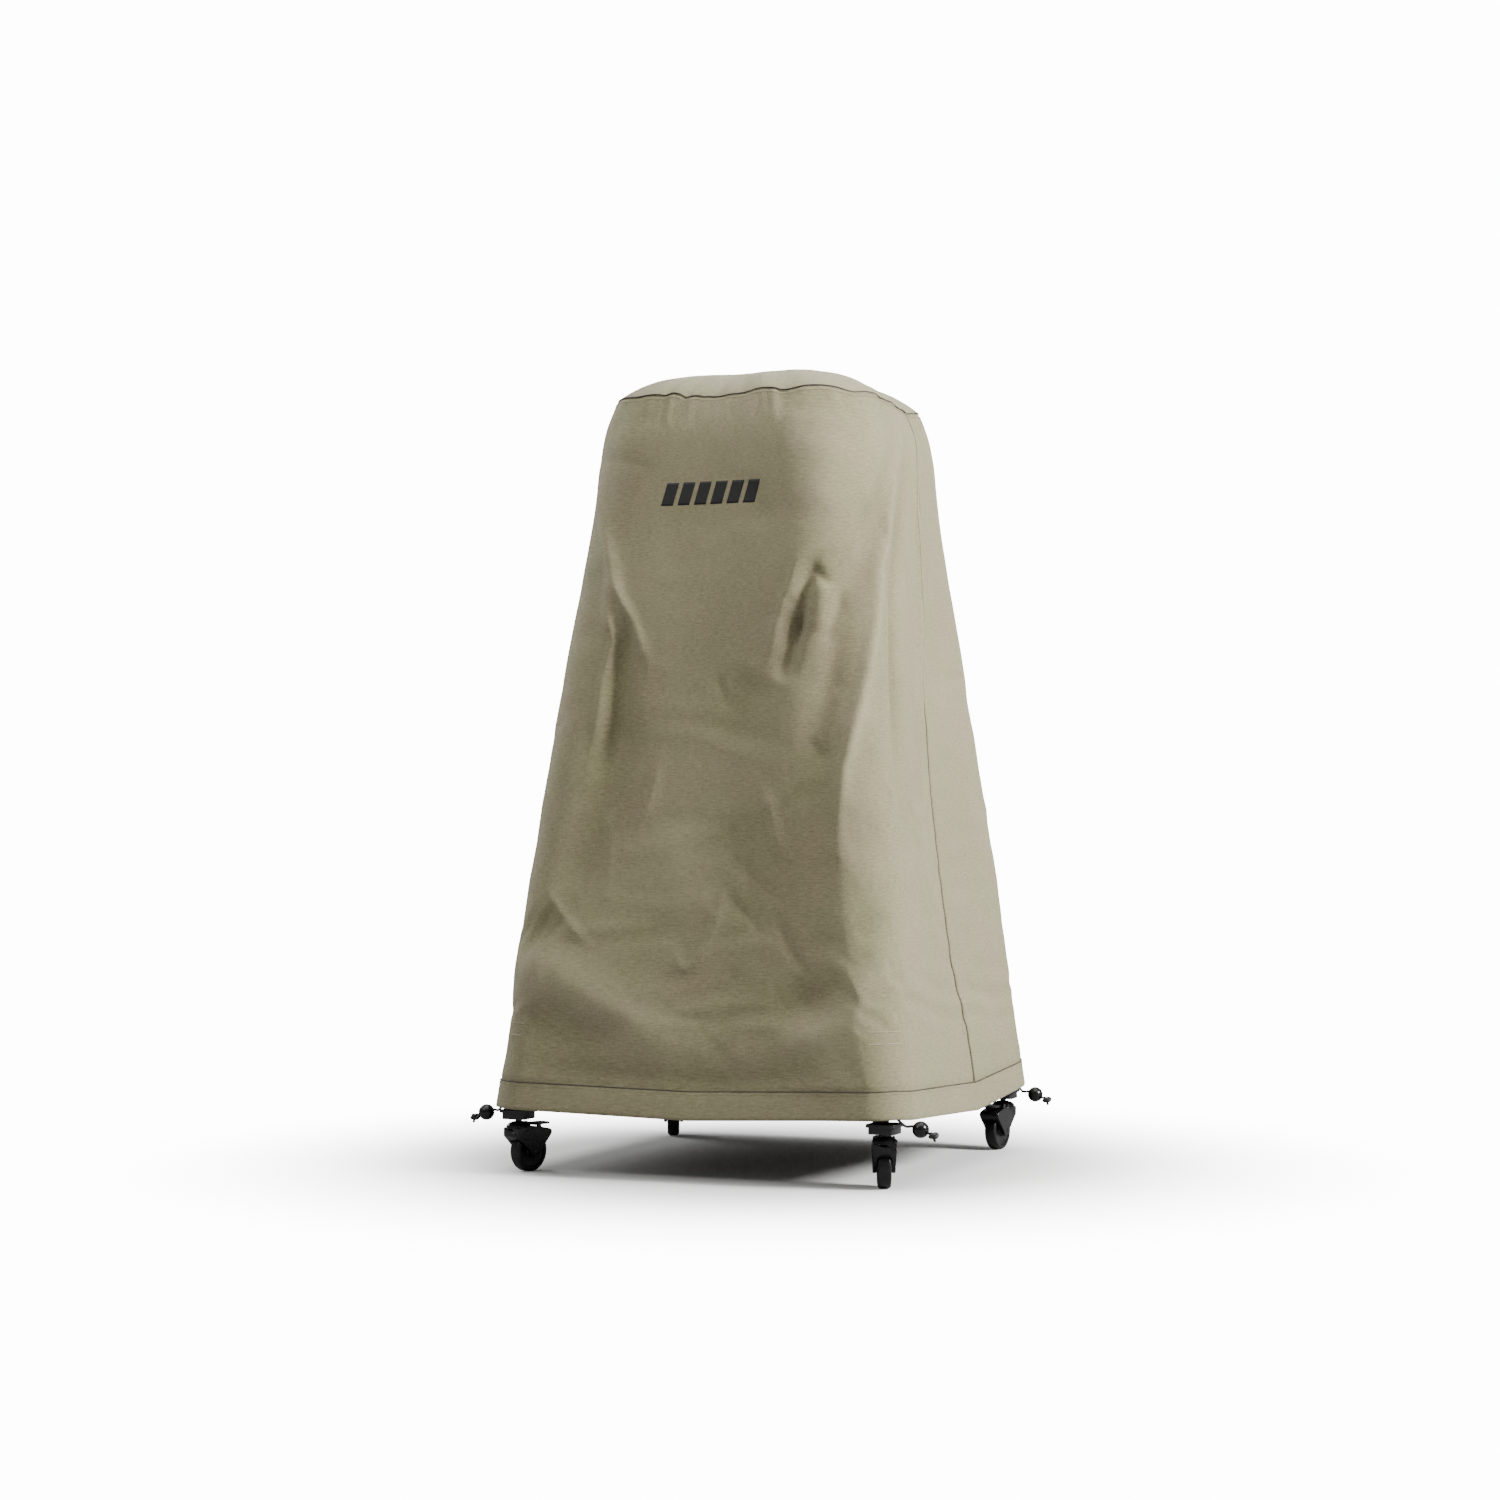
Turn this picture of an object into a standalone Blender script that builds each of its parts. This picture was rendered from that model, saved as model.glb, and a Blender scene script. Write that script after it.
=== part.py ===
"""Fitted fabric cover standing over a portable oven on a wheeled stand.

The cover is a tall tapering bag of sewn panels, open at the bottom. Each bottom corner has an
elastic tie that ends in a ball and a knot. Under it are a domed oven, a four-legged stand and
four braked swivel casters.

Units are metres, +Z is up, the front of the cover faces -Y and its right side faces +X.
The origin is on the floor at the middle of the object.
"""
import math

import bmesh
import bpy
from mathutils import Matrix, Vector

# The cover: a rounded square section that tapers from the hem to the seam round the top
HEM_BOTTOM = 0.100
HEM_TOP = 0.1425
PANEL_BOTTOM = 0.1430
PANEL_TOP = 1.1965
SEAM_HEIGHT = 1.200
CROWN_RISE = 0.063
CROWN_POWER = 3.2
HEM_HALF = 0.342
TOP_HALF = 0.222
HEM_CORNER = 0.055
TOP_CORNER = 0.120
FACE_HOLLOW = 0.010
CLOTH = 0.003
HEM_CLOTH = 0.0042
HEM_PROUD = 0.0004
SIDE_GAP_TURN = 0.0004
STRAIGHT_TURN = 0.4

# Webbing and tape sewn inside the cover
STRAP_TURNS = (0.462, 0.566)
STRAP_BOTTOM = 0.126
STRAP_TOP = 0.243
STRAP_INSET = 0.0050
STRAP_CLOTH = 0.0016
TAPE_TURN = 0.011
TAPE_INSET = 0.0034
TAPE_CLOTH = 0.0014

# Elastic ties at the corners
TIE_RADIUS = 0.002
BALL_RADIUS = 0.0125
BALL_BORE = 0.0031
BALL_PLACE = (0.358, 0.302, 0.0918)
BALL_TILT = math.radians(22)
KNOT_RADIUS = 0.0085
KNOT_DISTANCE = 0.0215
TAIL_LENGTH = 0.019
# Route of a tie as distances from the middle planes and height, from its strap to its ball
TIE_ROUTE = (
    (0.3141, 0.3214, 0.1240),
    (0.3173, 0.3162, 0.1165),
    (0.3233, 0.3110, 0.1085),
    (0.3295, 0.3072, 0.1012),
    (0.3364, 0.3037, 0.0957),
    (0.3464, 0.3020, 0.0962),
)

# Casters
STEM_PLACE = 0.302
WHEEL_RADIUS = 0.0325
WHEEL_SIDES = 24
WHEEL_BORE = 0.0034
AXLE_RADIUS = 0.0030
AXLE_HALF = 0.0167
TRAIL = 0.022
FORK_HALF = 0.017
WHEEL_GAP_HALF = 0.0115
WHEEL_GAP_RADIUS = 0.0345
HOOD_TOP = 0.070
CAP_RADIUS = 0.0195
CAP_TOP = 0.0795
STEM_RADIUS = 0.005
STEM_BORE = 0.0054
STEM_BOTTOM = 0.0723
STEM_TOP = 0.0932
PEDAL_PIVOT = (0.030, 0.0738)
PEDAL_HALF = 0.0125
PEDAL_REACH = 0.0300
PEDAL_THICK = 0.003
PEDAL_CORNER = 0.006

# Stand
FOOT_HALF = 0.024
FOOT_TOP = 0.0985
FOOT_BLOCK_HALF = 0.0205
FOOT_BLOCK_BOTTOM = 0.0837
FOOT_BLOCK_TOP = 0.0945
LEG_RADIUS = 0.0125
LEG_WALL = 0.0015
LEG_FOOT_PLACE = 0.2925
LEG_TOP_PLACE = 0.185
LEG_BOTTOM = 0.0992
TRAY_BOTTOM = 0.870
TRAY_TOP = 0.882
TRAY_HALF = 0.212
TRAY_WALL = 0.0015
TRAY_CORNER = 0.05
RAIL_RADIUS = 0.008
RAIL_HEIGHT = 0.300
SHELF_THICK = 0.0015
SHELF_HALF = (0.272, 0.235)
SHELF_CORNER = 0.012

# Oven
OVEN_HALF = 0.205
OVEN_CORNER = 0.075
OVEN_BOTTOM = 0.8823
OVEN_BASE_TOP = 0.945
OVEN_BASE_WALL = 0.003
OVEN_WALL_MIDDLE = 1.02
DOME_TOP = 1.238
DOME_POWER = 3.0
DOME_SHOULDER = 1.090
DOME_UPRIGHT = 0.006
DOME_WALL = 0.004
MOUTH_HALF = 0.150
MOUTH_TOP = 1.050
MOUTH_CORNER = 0.03
MOUTH_DEPTH_HALF = 0.06
STONE_HALF = 0.165
STONE_THICK = 0.018
STONE_CORNER = 0.02

TOUCH_GAP = 0.0003
MERGE = 0.00001

# Corner name: side along X, side along Y, and the way the caster trails, in degrees from +X
CORNERS = {
    "front_right": (1, -1, 112),
    "front_left": (-1, -1, 72),
    "back_right": (1, 1, -98),
    "back_left": (-1, 1, -68),
}

# Material name: colour, roughness, metallic
FINISHES = {
    "canvas": ((0.26, 0.235, 0.155), 0.9, 0.0),
    "webbing": ((0.03, 0.03, 0.03), 0.85, 0.0),
    "elastic": ((0.012, 0.012, 0.013), 0.7, 0.0),
    "black_plastic": ((0.010, 0.010, 0.011), 0.35, 0.0),
    "black_nylon": ((0.014, 0.014, 0.015), 0.5, 0.0),
    "coated_steel": ((0.016, 0.016, 0.017), 0.45, 0.6),
    "bright_steel": ((0.55, 0.55, 0.56), 0.3, 1.0),
    "oven_coat": ((0.045, 0.045, 0.042), 0.5, 0.2),
    "stone": ((0.55, 0.49, 0.40), 0.9, 0.0),
}


def clear_scene():
    for item in list(bpy.data.objects):
        bpy.data.objects.remove(item)


def make_collection(name):
    collection = bpy.data.collections.new(name)
    bpy.context.scene.collection.children.link(collection)
    return collection


def make_material(name):
    colour, roughness, metallic = FINISHES[name]
    material = bpy.data.materials.new(name)
    material.use_nodes = True
    shader = material.node_tree.nodes["Principled BSDF"]
    shader.inputs["Base Color"].default_value = (*colour, 1.0)
    shader.inputs["Roughness"].default_value = roughness
    shader.inputs["Metallic"].default_value = metallic
    return material


def finish_object(name, mesh, finish, smooth_degrees=35):
    """Put a mesh in the model as a named piece with its material."""
    mesh.name = name
    mesh.materials.clear()
    mesh.materials.append(MATERIALS[finish])
    mesh.shade_smooth()
    mesh.set_sharp_from_angle(angle=math.radians(smooth_degrees))
    item = bpy.data.objects.new(name, mesh)
    MODEL.objects.link(item)
    return item


def evaluated_mesh(item):
    """Mesh of an object with its modifiers applied and its loose caps welded. Removes the object."""
    bpy.context.view_layer.update()
    graph = bpy.context.evaluated_depsgraph_get()
    mesh = bpy.data.meshes.new_from_object(item.evaluated_get(graph))
    mesh.transform(item.matrix_world)
    bm = bmesh.new()
    bm.from_mesh(mesh)
    bmesh.ops.remove_doubles(bm, verts=bm.verts, dist=MERGE)
    bm.to_mesh(mesh)
    bm.free()
    bpy.data.objects.remove(item)
    return mesh


def temporary_object(mesh):
    item = bpy.data.objects.new("temporary", mesh)
    bpy.context.scene.collection.objects.link(item)
    return item


def combine(mesh, other, operation):
    """Boolean of two meshes with the exact solver."""
    base = temporary_object(mesh)
    tool = temporary_object(other)
    boolean = base.modifiers.new(operation, "BOOLEAN")
    boolean.operation = operation
    boolean.solver = "EXACT"
    boolean.object = tool
    result = evaluated_mesh(base)
    bpy.data.objects.remove(tool)
    return result


def box_mesh(low, high):
    bm = bmesh.new()
    bmesh.ops.create_cube(bm, size=1.0)
    size = Vector(high) - Vector(low)
    middle = (Vector(high) + Vector(low)) / 2
    bmesh.ops.scale(bm, vec=size, verts=bm.verts)
    bmesh.ops.translate(bm, vec=middle, verts=bm.verts)
    mesh = bpy.data.meshes.new("box")
    bm.to_mesh(mesh)
    bm.free()
    return mesh


def cylinder_mesh(radius, start, end, sides=16, caps=True):
    """Cylinder between two points."""
    start = Vector(start)
    run = Vector(end) - start
    bm = bmesh.new()
    bmesh.ops.create_cone(
        bm, cap_ends=caps, segments=sides, radius1=radius, radius2=radius, depth=run.length
    )
    turn = run.to_track_quat("Z", "Y").to_matrix().to_4x4()
    place = Matrix.Translation(start + run / 2) @ turn
    bmesh.ops.transform(bm, matrix=place, verts=bm.verts)
    mesh = bpy.data.meshes.new("cylinder")
    bm.to_mesh(mesh)
    bm.free()
    return mesh


def bevel_mesh(mesh, width, segments=2):
    """Round a mesh's sharp edges."""
    item = temporary_object(mesh)
    bevel = item.modifiers.new("rounding", "BEVEL")
    bevel.width = width
    bevel.segments = segments
    bevel.limit_method = "ANGLE"
    bevel.angle_limit = math.radians(40)
    return evaluated_mesh(item)


def turned_mesh(profile, steps, closed):
    """Turn a profile of (radius, height) about Z. It runs down its outer side."""
    mesh = bpy.data.meshes.new("profile")
    points = [(radius, 0.0, height) for radius, height in profile]
    edges = [(i, i + 1) for i in range(len(points) - 1)]
    if closed:
        edges.append((len(points) - 1, 0))
    mesh.from_pydata(points, edges, [])
    item = temporary_object(mesh)
    screw = item.modifiers.new("turning", "SCREW")
    screw.steps = steps
    screw.render_steps = steps
    screw.use_merge_vertices = True
    screw.merge_threshold = MERGE
    return evaluated_mesh(item)


def outline_mesh(outline, half_thickness):
    """Flat plate from an outline in its own X and Y, with its thickness along Z."""
    curve = bpy.data.curves.new("outline", "CURVE")
    curve.dimensions = "2D"
    curve.fill_mode = "BOTH"
    curve.extrude = half_thickness
    spline = curve.splines.new("POLY")
    spline.points.add(len(outline) - 1)
    for point, (x, y) in zip(spline.points, outline):
        point.co = (x, y, 0.0, 1.0)
    spline.use_cyclic_u = True
    item = bpy.data.objects.new("outline", curve)
    bpy.context.scene.collection.objects.link(item)
    return evaluated_mesh(item)


def arc_points(centre, radius, start_degrees, end_degrees, count):
    points = []
    for i in range(count + 1):
        angle = math.radians(start_degrees + (end_degrees - start_degrees) * i / count)
        points.append((centre[0] + radius * math.cos(angle), centre[1] + radius * math.sin(angle)))
    return points


def rounded_square(half_x, half_y, corner, count=5):
    """Outline of a rectangle with round corners."""
    points = []
    for quarter, (side_x, side_y) in enumerate(((1, 1), (-1, 1), (-1, -1), (1, -1))):
        centre = (side_x * (half_x - corner), side_y * (half_y - corner))
        points += arc_points(centre, corner, 90 * quarter, 90 * quarter + 90, count)
    return points


def plate_mesh(half_x, half_y, corner, bottom, top, count=5):
    mesh = outline_mesh(rounded_square(half_x, half_y, corner, count), (top - bottom) / 2)
    mesh.transform(Matrix.Translation((0, 0, (top + bottom) / 2)))
    return mesh


def hollow_below(mesh, half_x, half_y, corner, bottom, top, wall, count=5):
    """Cuts a plate to a pan with turned-down edges, open underneath."""
    hollow = plate_mesh(half_x - wall, half_y - wall, corner - wall, bottom - 0.010, top - wall, count)
    return combine(mesh, hollow, "DIFFERENCE")


# Cover

def wall_point(turn, height, inset=0.0):
    """Point on the cover's wall. turn runs from 0 at the middle of the right face, by way of
    the front at 1 and the left at 2, to 4. Each face is a little hollow at half height."""
    rise = (height - HEM_BOTTOM) / (SEAM_HEIGHT - HEM_BOTTOM)
    half = HEM_HALF + (TOP_HALF - HEM_HALF) * rise - inset
    corner = HEM_CORNER + (TOP_CORNER - HEM_CORNER) * rise - inset
    straight = half - corner
    quarter = math.floor(turn)
    part = turn - quarter
    reach = min(part, 1 - part) / STRAIGHT_TURN
    if reach < 1:
        dip = FACE_HOLLOW * math.sin(math.pi * rise) * math.cos(math.pi / 2 * reach) ** 2
        across = half - dip
        along = straight * reach
        local = (across, along) if part < 0.5 else (along, across)
    else:
        angle = (part - STRAIGHT_TURN) / (1 - 2 * STRAIGHT_TURN) * math.pi / 2
        local = (straight + corner * math.cos(angle), straight + corner * math.sin(angle))
    heading = -quarter * math.pi / 2
    normal = Vector((math.cos(heading), math.sin(heading), 0))
    onward = Vector((math.sin(heading), -math.cos(heading), 0))
    return normal * local[0] + onward * local[1] + Vector((0, 0, height))


def turn_columns(start, end, straight_steps=3, corner_steps=5):
    """Turns from start to end, with a few on each straight run and more round each corner."""
    marks = []
    for quarter in range(-1, 5):
        for i in range(straight_steps):
            marks.append(quarter + STRAIGHT_TURN * i / straight_steps)
        for i in range(corner_steps):
            marks.append(quarter + STRAIGHT_TURN + (1 - 2 * STRAIGHT_TURN) * i / corner_steps)
        for i in range(straight_steps):
            marks.append(quarter + 1 - STRAIGHT_TURN * (straight_steps - i) / straight_steps)
    inside = [turn for turn in marks if start + 0.01 < turn < end - 0.01]
    return [start] + inside + [end]


def height_rows(low, high, count):
    return [low + (high - low) * i / count for i in range(count + 1)]


def shell_mesh(rows, thickness, closed_round=False):
    """Cloth shell from rows of points, lowest first. Its thickness is on the inner side."""
    columns = len(rows[0])
    points = [point for row in rows for point in row]
    faces = []
    for i in range(len(rows) - 1):
        for j in range(columns if closed_round else columns - 1):
            following = (j + 1) % columns
            low = i * columns
            high = low + columns
            faces.append((low + j, high + j, high + following, low + following))
    mesh = bpy.data.meshes.new("shell")
    mesh.from_pydata(points, [], faces)
    item = temporary_object(mesh)
    solidify = item.modifiers.new("cloth", "SOLIDIFY")
    solidify.thickness = thickness
    solidify.offset = -1.0
    return evaluated_mesh(item)


def wall_shell(start, end, low, high, row_count, thickness, inset=0.0, columns=None):
    turns = columns or turn_columns(start, end)
    heights = height_rows(low, high, row_count)
    rows = [[wall_point(turn, height, inset) for turn in turns] for height in heights]
    return shell_mesh(rows, thickness)


def make_body_panels():
    gap = SIDE_GAP_TURN
    for name, start in (("cover_front", 0), ("cover_back", 2)):
        mesh = wall_shell(start + gap, start + 2 - gap, PANEL_BOTTOM, PANEL_TOP, 8, CLOTH)
        finish_object(name, mesh, "canvas")


def make_hems():
    gap = SIDE_GAP_TURN
    for name, start in (("hem_front", 0), ("hem_back", 2)):
        mesh = wall_shell(
            start + gap, start + 2 - gap, HEM_BOTTOM, HEM_TOP, 1, HEM_CLOTH, -HEM_PROUD
        )
        finish_object(name, mesh, "canvas")


def crown_height(share):
    """Height of the top panel at a share of the way from its middle to its seam."""
    return SEAM_HEIGHT + CROWN_RISE * (1 - share ** CROWN_POWER)


def make_top_panel():
    turns = turn_columns(0, 4)[:-1]
    rows = []
    for share in (1.0, 0.93, 0.84, 0.72, 0.55, 0.35, 0.12):
        ring = []
        for turn in turns:
            edge = wall_point(turn, SEAM_HEIGHT)
            ring.append(Vector((edge.x * share, edge.y * share, crown_height(share))))
        rows.append(ring)
    mesh = shell_mesh(rows, CLOTH, closed_round=True)
    finish_object("cover_top", close_top_hole(mesh, rows[-1][0].z), "canvas")


def close_top_hole(mesh, height):
    """Fill the small hole in the middle of the top panel with a disc as thick as the cloth."""
    radius = TOP_HALF * 0.14
    disc = cylinder_mesh(radius, (0, 0, height - CLOTH), (0, 0, height), sides=16)
    return combine(mesh, disc, "UNION")


def make_side_tapes():
    for name, middle in (("seam_tape_right", 0), ("seam_tape_left", 2)):
        turns = [middle - TAPE_TURN, middle, middle + TAPE_TURN]
        mesh = wall_shell(0, 0, 0.150, 1.190, 8, TAPE_CLOTH, TAPE_INSET, turns)
        finish_object(name, mesh, "webbing")


def corner_turn(turn, side_x, side_y):
    """The turn at another corner that mirrors a turn of the front right one."""
    if side_y < 0:
        return turn if side_x > 0 else 2 - turn
    return 4 - turn if side_x > 0 else 2 + turn


def make_strap(corner, side_x, side_y):
    low, high = sorted(corner_turn(turn, side_x, side_y) for turn in STRAP_TURNS)
    turns = [low + (high - low) * i / 4 for i in range(5)]
    mesh = wall_shell(0, 0, STRAP_BOTTOM, STRAP_TOP, 3, STRAP_CLOTH, STRAP_INSET, turns)
    finish_object("strap_" + corner, mesh, "webbing")


# Elastic ties

def tie_direction(side_x):
    """Way that a tie runs out through its ball."""
    return Vector((side_x * math.cos(BALL_TILT), 0, -math.sin(BALL_TILT)))


def at_corner(point, side_x, side_y):
    return Vector((side_x * point[0], side_y * point[1], point[2]))


def smooth_route(points, steps):
    """Catmull-Rom curve through points."""
    padded = [points[0] * 2 - points[1]] + points + [points[-1] * 2 - points[-2]]
    route = []
    for i in range(1, len(padded) - 2):
        before, start, end, after = padded[i - 1:i + 3]
        for step in range(steps):
            t = step / steps
            route.append(
                0.5 * (2 * start + (end - before) * t
                       + (2 * before - 5 * start + 4 * end - after) * t ** 2
                       + (3 * start - before - 3 * end + after) * t ** 3)
            )
    return route + [points[-1]]


def tube_object(name, route, radius, finish):
    curve = bpy.data.curves.new(name, "CURVE")
    curve.dimensions = "3D"
    curve.bevel_depth = radius
    curve.bevel_resolution = 2
    curve.use_fill_caps = True
    spline = curve.splines.new("POLY")
    spline.points.add(len(route) - 1)
    for point, place in zip(spline.points, route):
        point.co = (*place, 1.0)
    curve.materials.append(MATERIALS[finish])
    item = bpy.data.objects.new(name, curve)
    MODEL.objects.link(item)


def make_tie(corner, side_x, side_y):
    ball = at_corner(BALL_PLACE, side_x, side_y)
    outward = tie_direction(side_x)
    knot = ball + outward * KNOT_DISTANCE
    points = [at_corner(point, side_x, side_y) for point in TIE_ROUTE]
    points.append(ball)
    points.append(knot - outward * (KNOT_RADIUS + TOUCH_GAP))
    tube_object("tie_cord_" + corner, smooth_route(points, 2), TIE_RADIUS, "elastic")

    steepest = 90 - math.degrees(math.asin(BALL_BORE / BALL_RADIUS))
    profile = arc_points((0, 0), BALL_RADIUS, steepest, -steepest, 8)
    mesh = turned_mesh(profile, 16, closed=True)
    item = finish_object("tie_ball_" + corner, mesh, "black_plastic")
    item.rotation_euler = outward.to_track_quat("Z", "Y").to_euler()
    item.location = ball

    bm = bmesh.new()
    bmesh.ops.create_icosphere(bm, subdivisions=2, radius=KNOT_RADIUS)
    round_knot = bpy.data.meshes.new("knot")
    bm.to_mesh(round_knot)
    bm.free()
    tail_end = Vector((side_x * 0.30, 0, -0.95)) * TAIL_LENGTH
    tail = cylinder_mesh(TIE_RADIUS, (0, 0, 0), tail_end, sides=8)
    item = finish_object("tie_knot_" + corner, combine(round_knot, tail, "UNION"), "elastic")
    item.location = knot


# Casters: made once about the stem's axis, trailing along +X, then copied to each corner

def fork_mesh():
    outline = [(-0.0165, HOOD_TOP), (-0.0165, 0.0570)]
    outline += arc_points((TRAIL, WHEEL_RADIUS), 0.0095, 200, 345, 6)
    outline += arc_points((0.0525, 0.0600), 0.0055, -50, 85, 4)
    outline += [(0.0320, HOOD_TOP)]
    mesh = outline_mesh(outline, FORK_HALF)
    mesh.transform(Matrix.Rotation(math.pi / 2, 4, "X"))
    mesh = bevel_mesh(mesh, 0.0012, 1)
    axle = (TRAIL, WHEEL_RADIUS)
    gap = cylinder_mesh(
        WHEEL_GAP_RADIUS, (axle[0], -WHEEL_GAP_HALF, axle[1]), (axle[0], WHEEL_GAP_HALF, axle[1]), 24
    )
    mesh = combine(mesh, gap, "DIFFERENCE")
    cap_profile = [(0, CAP_TOP), (0.0085, CAP_TOP), (0.0150, 0.0772), (0.0188, 0.0738)]
    cap_profile += [(CAP_RADIUS, 0.0708), (CAP_RADIUS, 0.0690), (0, 0.0690)]
    mesh = combine(mesh, turned_mesh(cap_profile, 20, closed=False), "UNION")
    for side in (-1, 1):
        ear = box_mesh(
            (PEDAL_PIVOT[0] - 0.0035, min(side * 0.0131, side * 0.0165), 0.0680),
            (PEDAL_PIVOT[0] + 0.0035, max(side * 0.0131, side * 0.0165), 0.0768),
        )
        mesh = combine(mesh, ear, "UNION")
    stem_hole = cylinder_mesh(STEM_BORE, (0, 0, 0.0720), (0, 0, 0.0900))
    mesh = combine(mesh, stem_hole, "DIFFERENCE")
    axle_hole = cylinder_mesh(WHEEL_BORE, (axle[0], -0.03, axle[1]), (axle[0], 0.03, axle[1]))
    return combine(mesh, axle_hole, "DIFFERENCE")


def wheel_mesh():
    """Wheel about its own centre, its axle along Y, with a flat of the tread at the bottom."""
    rim = WHEEL_RADIUS / math.cos(math.pi / WHEEL_SIDES)
    half = [(0.0270, 0.0100), (0.0310, 0.0090), (rim, 0.0062)]
    hub = [(WHEEL_BORE, 0.0110), (0.0085, 0.0110), (0.0105, 0.0070), (0.0245, 0.0078)]
    profile = half + [(radius, -height) for radius, height in reversed(half)]
    profile += [(radius, -height) for radius, height in reversed(hub)] + hub
    mesh = turned_mesh(profile, WHEEL_SIDES, closed=True)
    mesh.transform(Matrix.Rotation(math.pi / WHEEL_SIDES, 4, "Z"))
    mesh.transform(Matrix.Rotation(math.pi / 2, 4, "X"))
    return mesh


def pedal_mesh():
    """Brake pedal about its own pivot, reaching along +X."""
    tip = PEDAL_REACH - PEDAL_CORNER
    outline = [(0, -PEDAL_HALF), (tip, -PEDAL_HALF)]
    outline += arc_points((tip, -PEDAL_HALF + PEDAL_CORNER), PEDAL_CORNER, -80, 0, 3)
    outline += arc_points((tip, PEDAL_HALF - PEDAL_CORNER), PEDAL_CORNER, 0, 80, 3)
    outline += [(tip, PEDAL_HALF), (0, PEDAL_HALF)]
    plate = outline_mesh(outline, PEDAL_THICK / 2)
    barrel = cylinder_mesh(0.0024, (0, -PEDAL_HALF, 0), (0, PEDAL_HALF, 0), 12)
    barrel.transform(Matrix.Rotation(0.1, 4, "Y"))
    return combine(barrel, plate, "UNION")


def make_caster(corner, side_x, side_y, trail_degrees, shared):
    frame = bpy.data.objects.new("caster_" + corner, None)
    frame.location = (side_x * STEM_PLACE, side_y * STEM_PLACE, 0)
    frame.rotation_euler = (0, 0, math.radians(trail_degrees))
    MODEL.objects.link(frame)
    pieces = (
        ("caster_fork_", shared["fork"], (0, 0, 0)),
        ("caster_axle_", shared["axle"], (TRAIL, 0, WHEEL_RADIUS)),
        ("caster_wheel_", shared["wheel"], (TRAIL, 0, WHEEL_RADIUS)),
        ("brake_pedal_", shared["pedal"], (PEDAL_PIVOT[0], 0, PEDAL_PIVOT[1])),
        ("caster_stem_", shared["stem"], (0, 0, 0)),
    )
    for prefix, mesh, place in pieces:
        item = bpy.data.objects.new(prefix + corner, mesh)
        item.parent = frame
        item.location = place
        MODEL.objects.link(item)


def shared_mesh(mesh, finish):
    mesh.materials.append(MATERIALS[finish])
    mesh.shade_smooth()
    mesh.set_sharp_from_angle(angle=math.radians(35))
    return mesh


def make_casters():
    axle = cylinder_mesh(AXLE_RADIUS, (0, -AXLE_HALF, 0), (0, AXLE_HALF, 0), 16)
    stem = cylinder_mesh(STEM_RADIUS, (0, 0, STEM_BOTTOM), (0, 0, STEM_TOP), 16)
    shared = {
        "fork": shared_mesh(fork_mesh(), "black_nylon"),
        "axle": shared_mesh(axle, "bright_steel"),
        "wheel": shared_mesh(wheel_mesh(), "black_nylon"),
        "pedal": shared_mesh(pedal_mesh(), "black_nylon"),
        "stem": shared_mesh(stem, "bright_steel"),
    }
    for corner, (side_x, side_y, trail_degrees) in CORNERS.items():
        make_caster(corner, side_x, side_y, trail_degrees, shared)


# Stand

def foot_mesh():
    plate = plate_mesh(FOOT_HALF, FOOT_HALF, 0.008, FOOT_BLOCK_TOP - 0.0005, FOOT_TOP, 3)
    block = plate_mesh(FOOT_BLOCK_HALF, FOOT_BLOCK_HALF, 0.006, FOOT_BLOCK_BOTTOM, FOOT_BLOCK_TOP, 3)
    mesh = combine(plate, block, "UNION")
    hole = cylinder_mesh(STEM_BORE, (0, 0, 0.080), (0, 0, STEM_TOP + TOUCH_GAP))
    return combine(mesh, hole, "DIFFERENCE")


def leg_point(height):
    """Distance of a leg's middle line from both middle planes at a height."""
    rise = (height - LEG_BOTTOM) / (TRAY_BOTTOM - LEG_BOTTOM)
    return LEG_FOOT_PLACE + (LEG_TOP_PLACE - LEG_FOOT_PLACE) * rise


def make_leg(corner, side_x, side_y):
    """Splayed tube, cut level at both ends, up to the underside of the tray."""
    low = LEG_BOTTOM - 0.02
    high = TRAY_TOP + 0.02
    start = at_corner((leg_point(low), leg_point(low), low), side_x, side_y)
    end = at_corner((leg_point(high), leg_point(high), high), side_x, side_y)
    bm = bmesh.new()
    bm.from_mesh(cylinder_mesh(LEG_RADIUS, start, end, 16, caps=False))
    for height, normal in ((LEG_BOTTOM, -1), (TRAY_TOP - TRAY_WALL - TOUCH_GAP, 1)):
        geometry = bm.verts[:] + bm.edges[:] + bm.faces[:]
        bmesh.ops.bisect_plane(
            bm, geom=geometry, plane_co=(0, 0, height), plane_no=(0, 0, normal), clear_outer=True
        )
    mesh = bpy.data.meshes.new("leg")
    bm.to_mesh(mesh)
    bm.free()
    item = temporary_object(mesh)
    solidify = item.modifiers.new("wall", "SOLIDIFY")
    solidify.thickness = LEG_WALL
    solidify.offset = -1.0
    finish_object("leg_" + corner, evaluated_mesh(item), "coated_steel")


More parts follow.
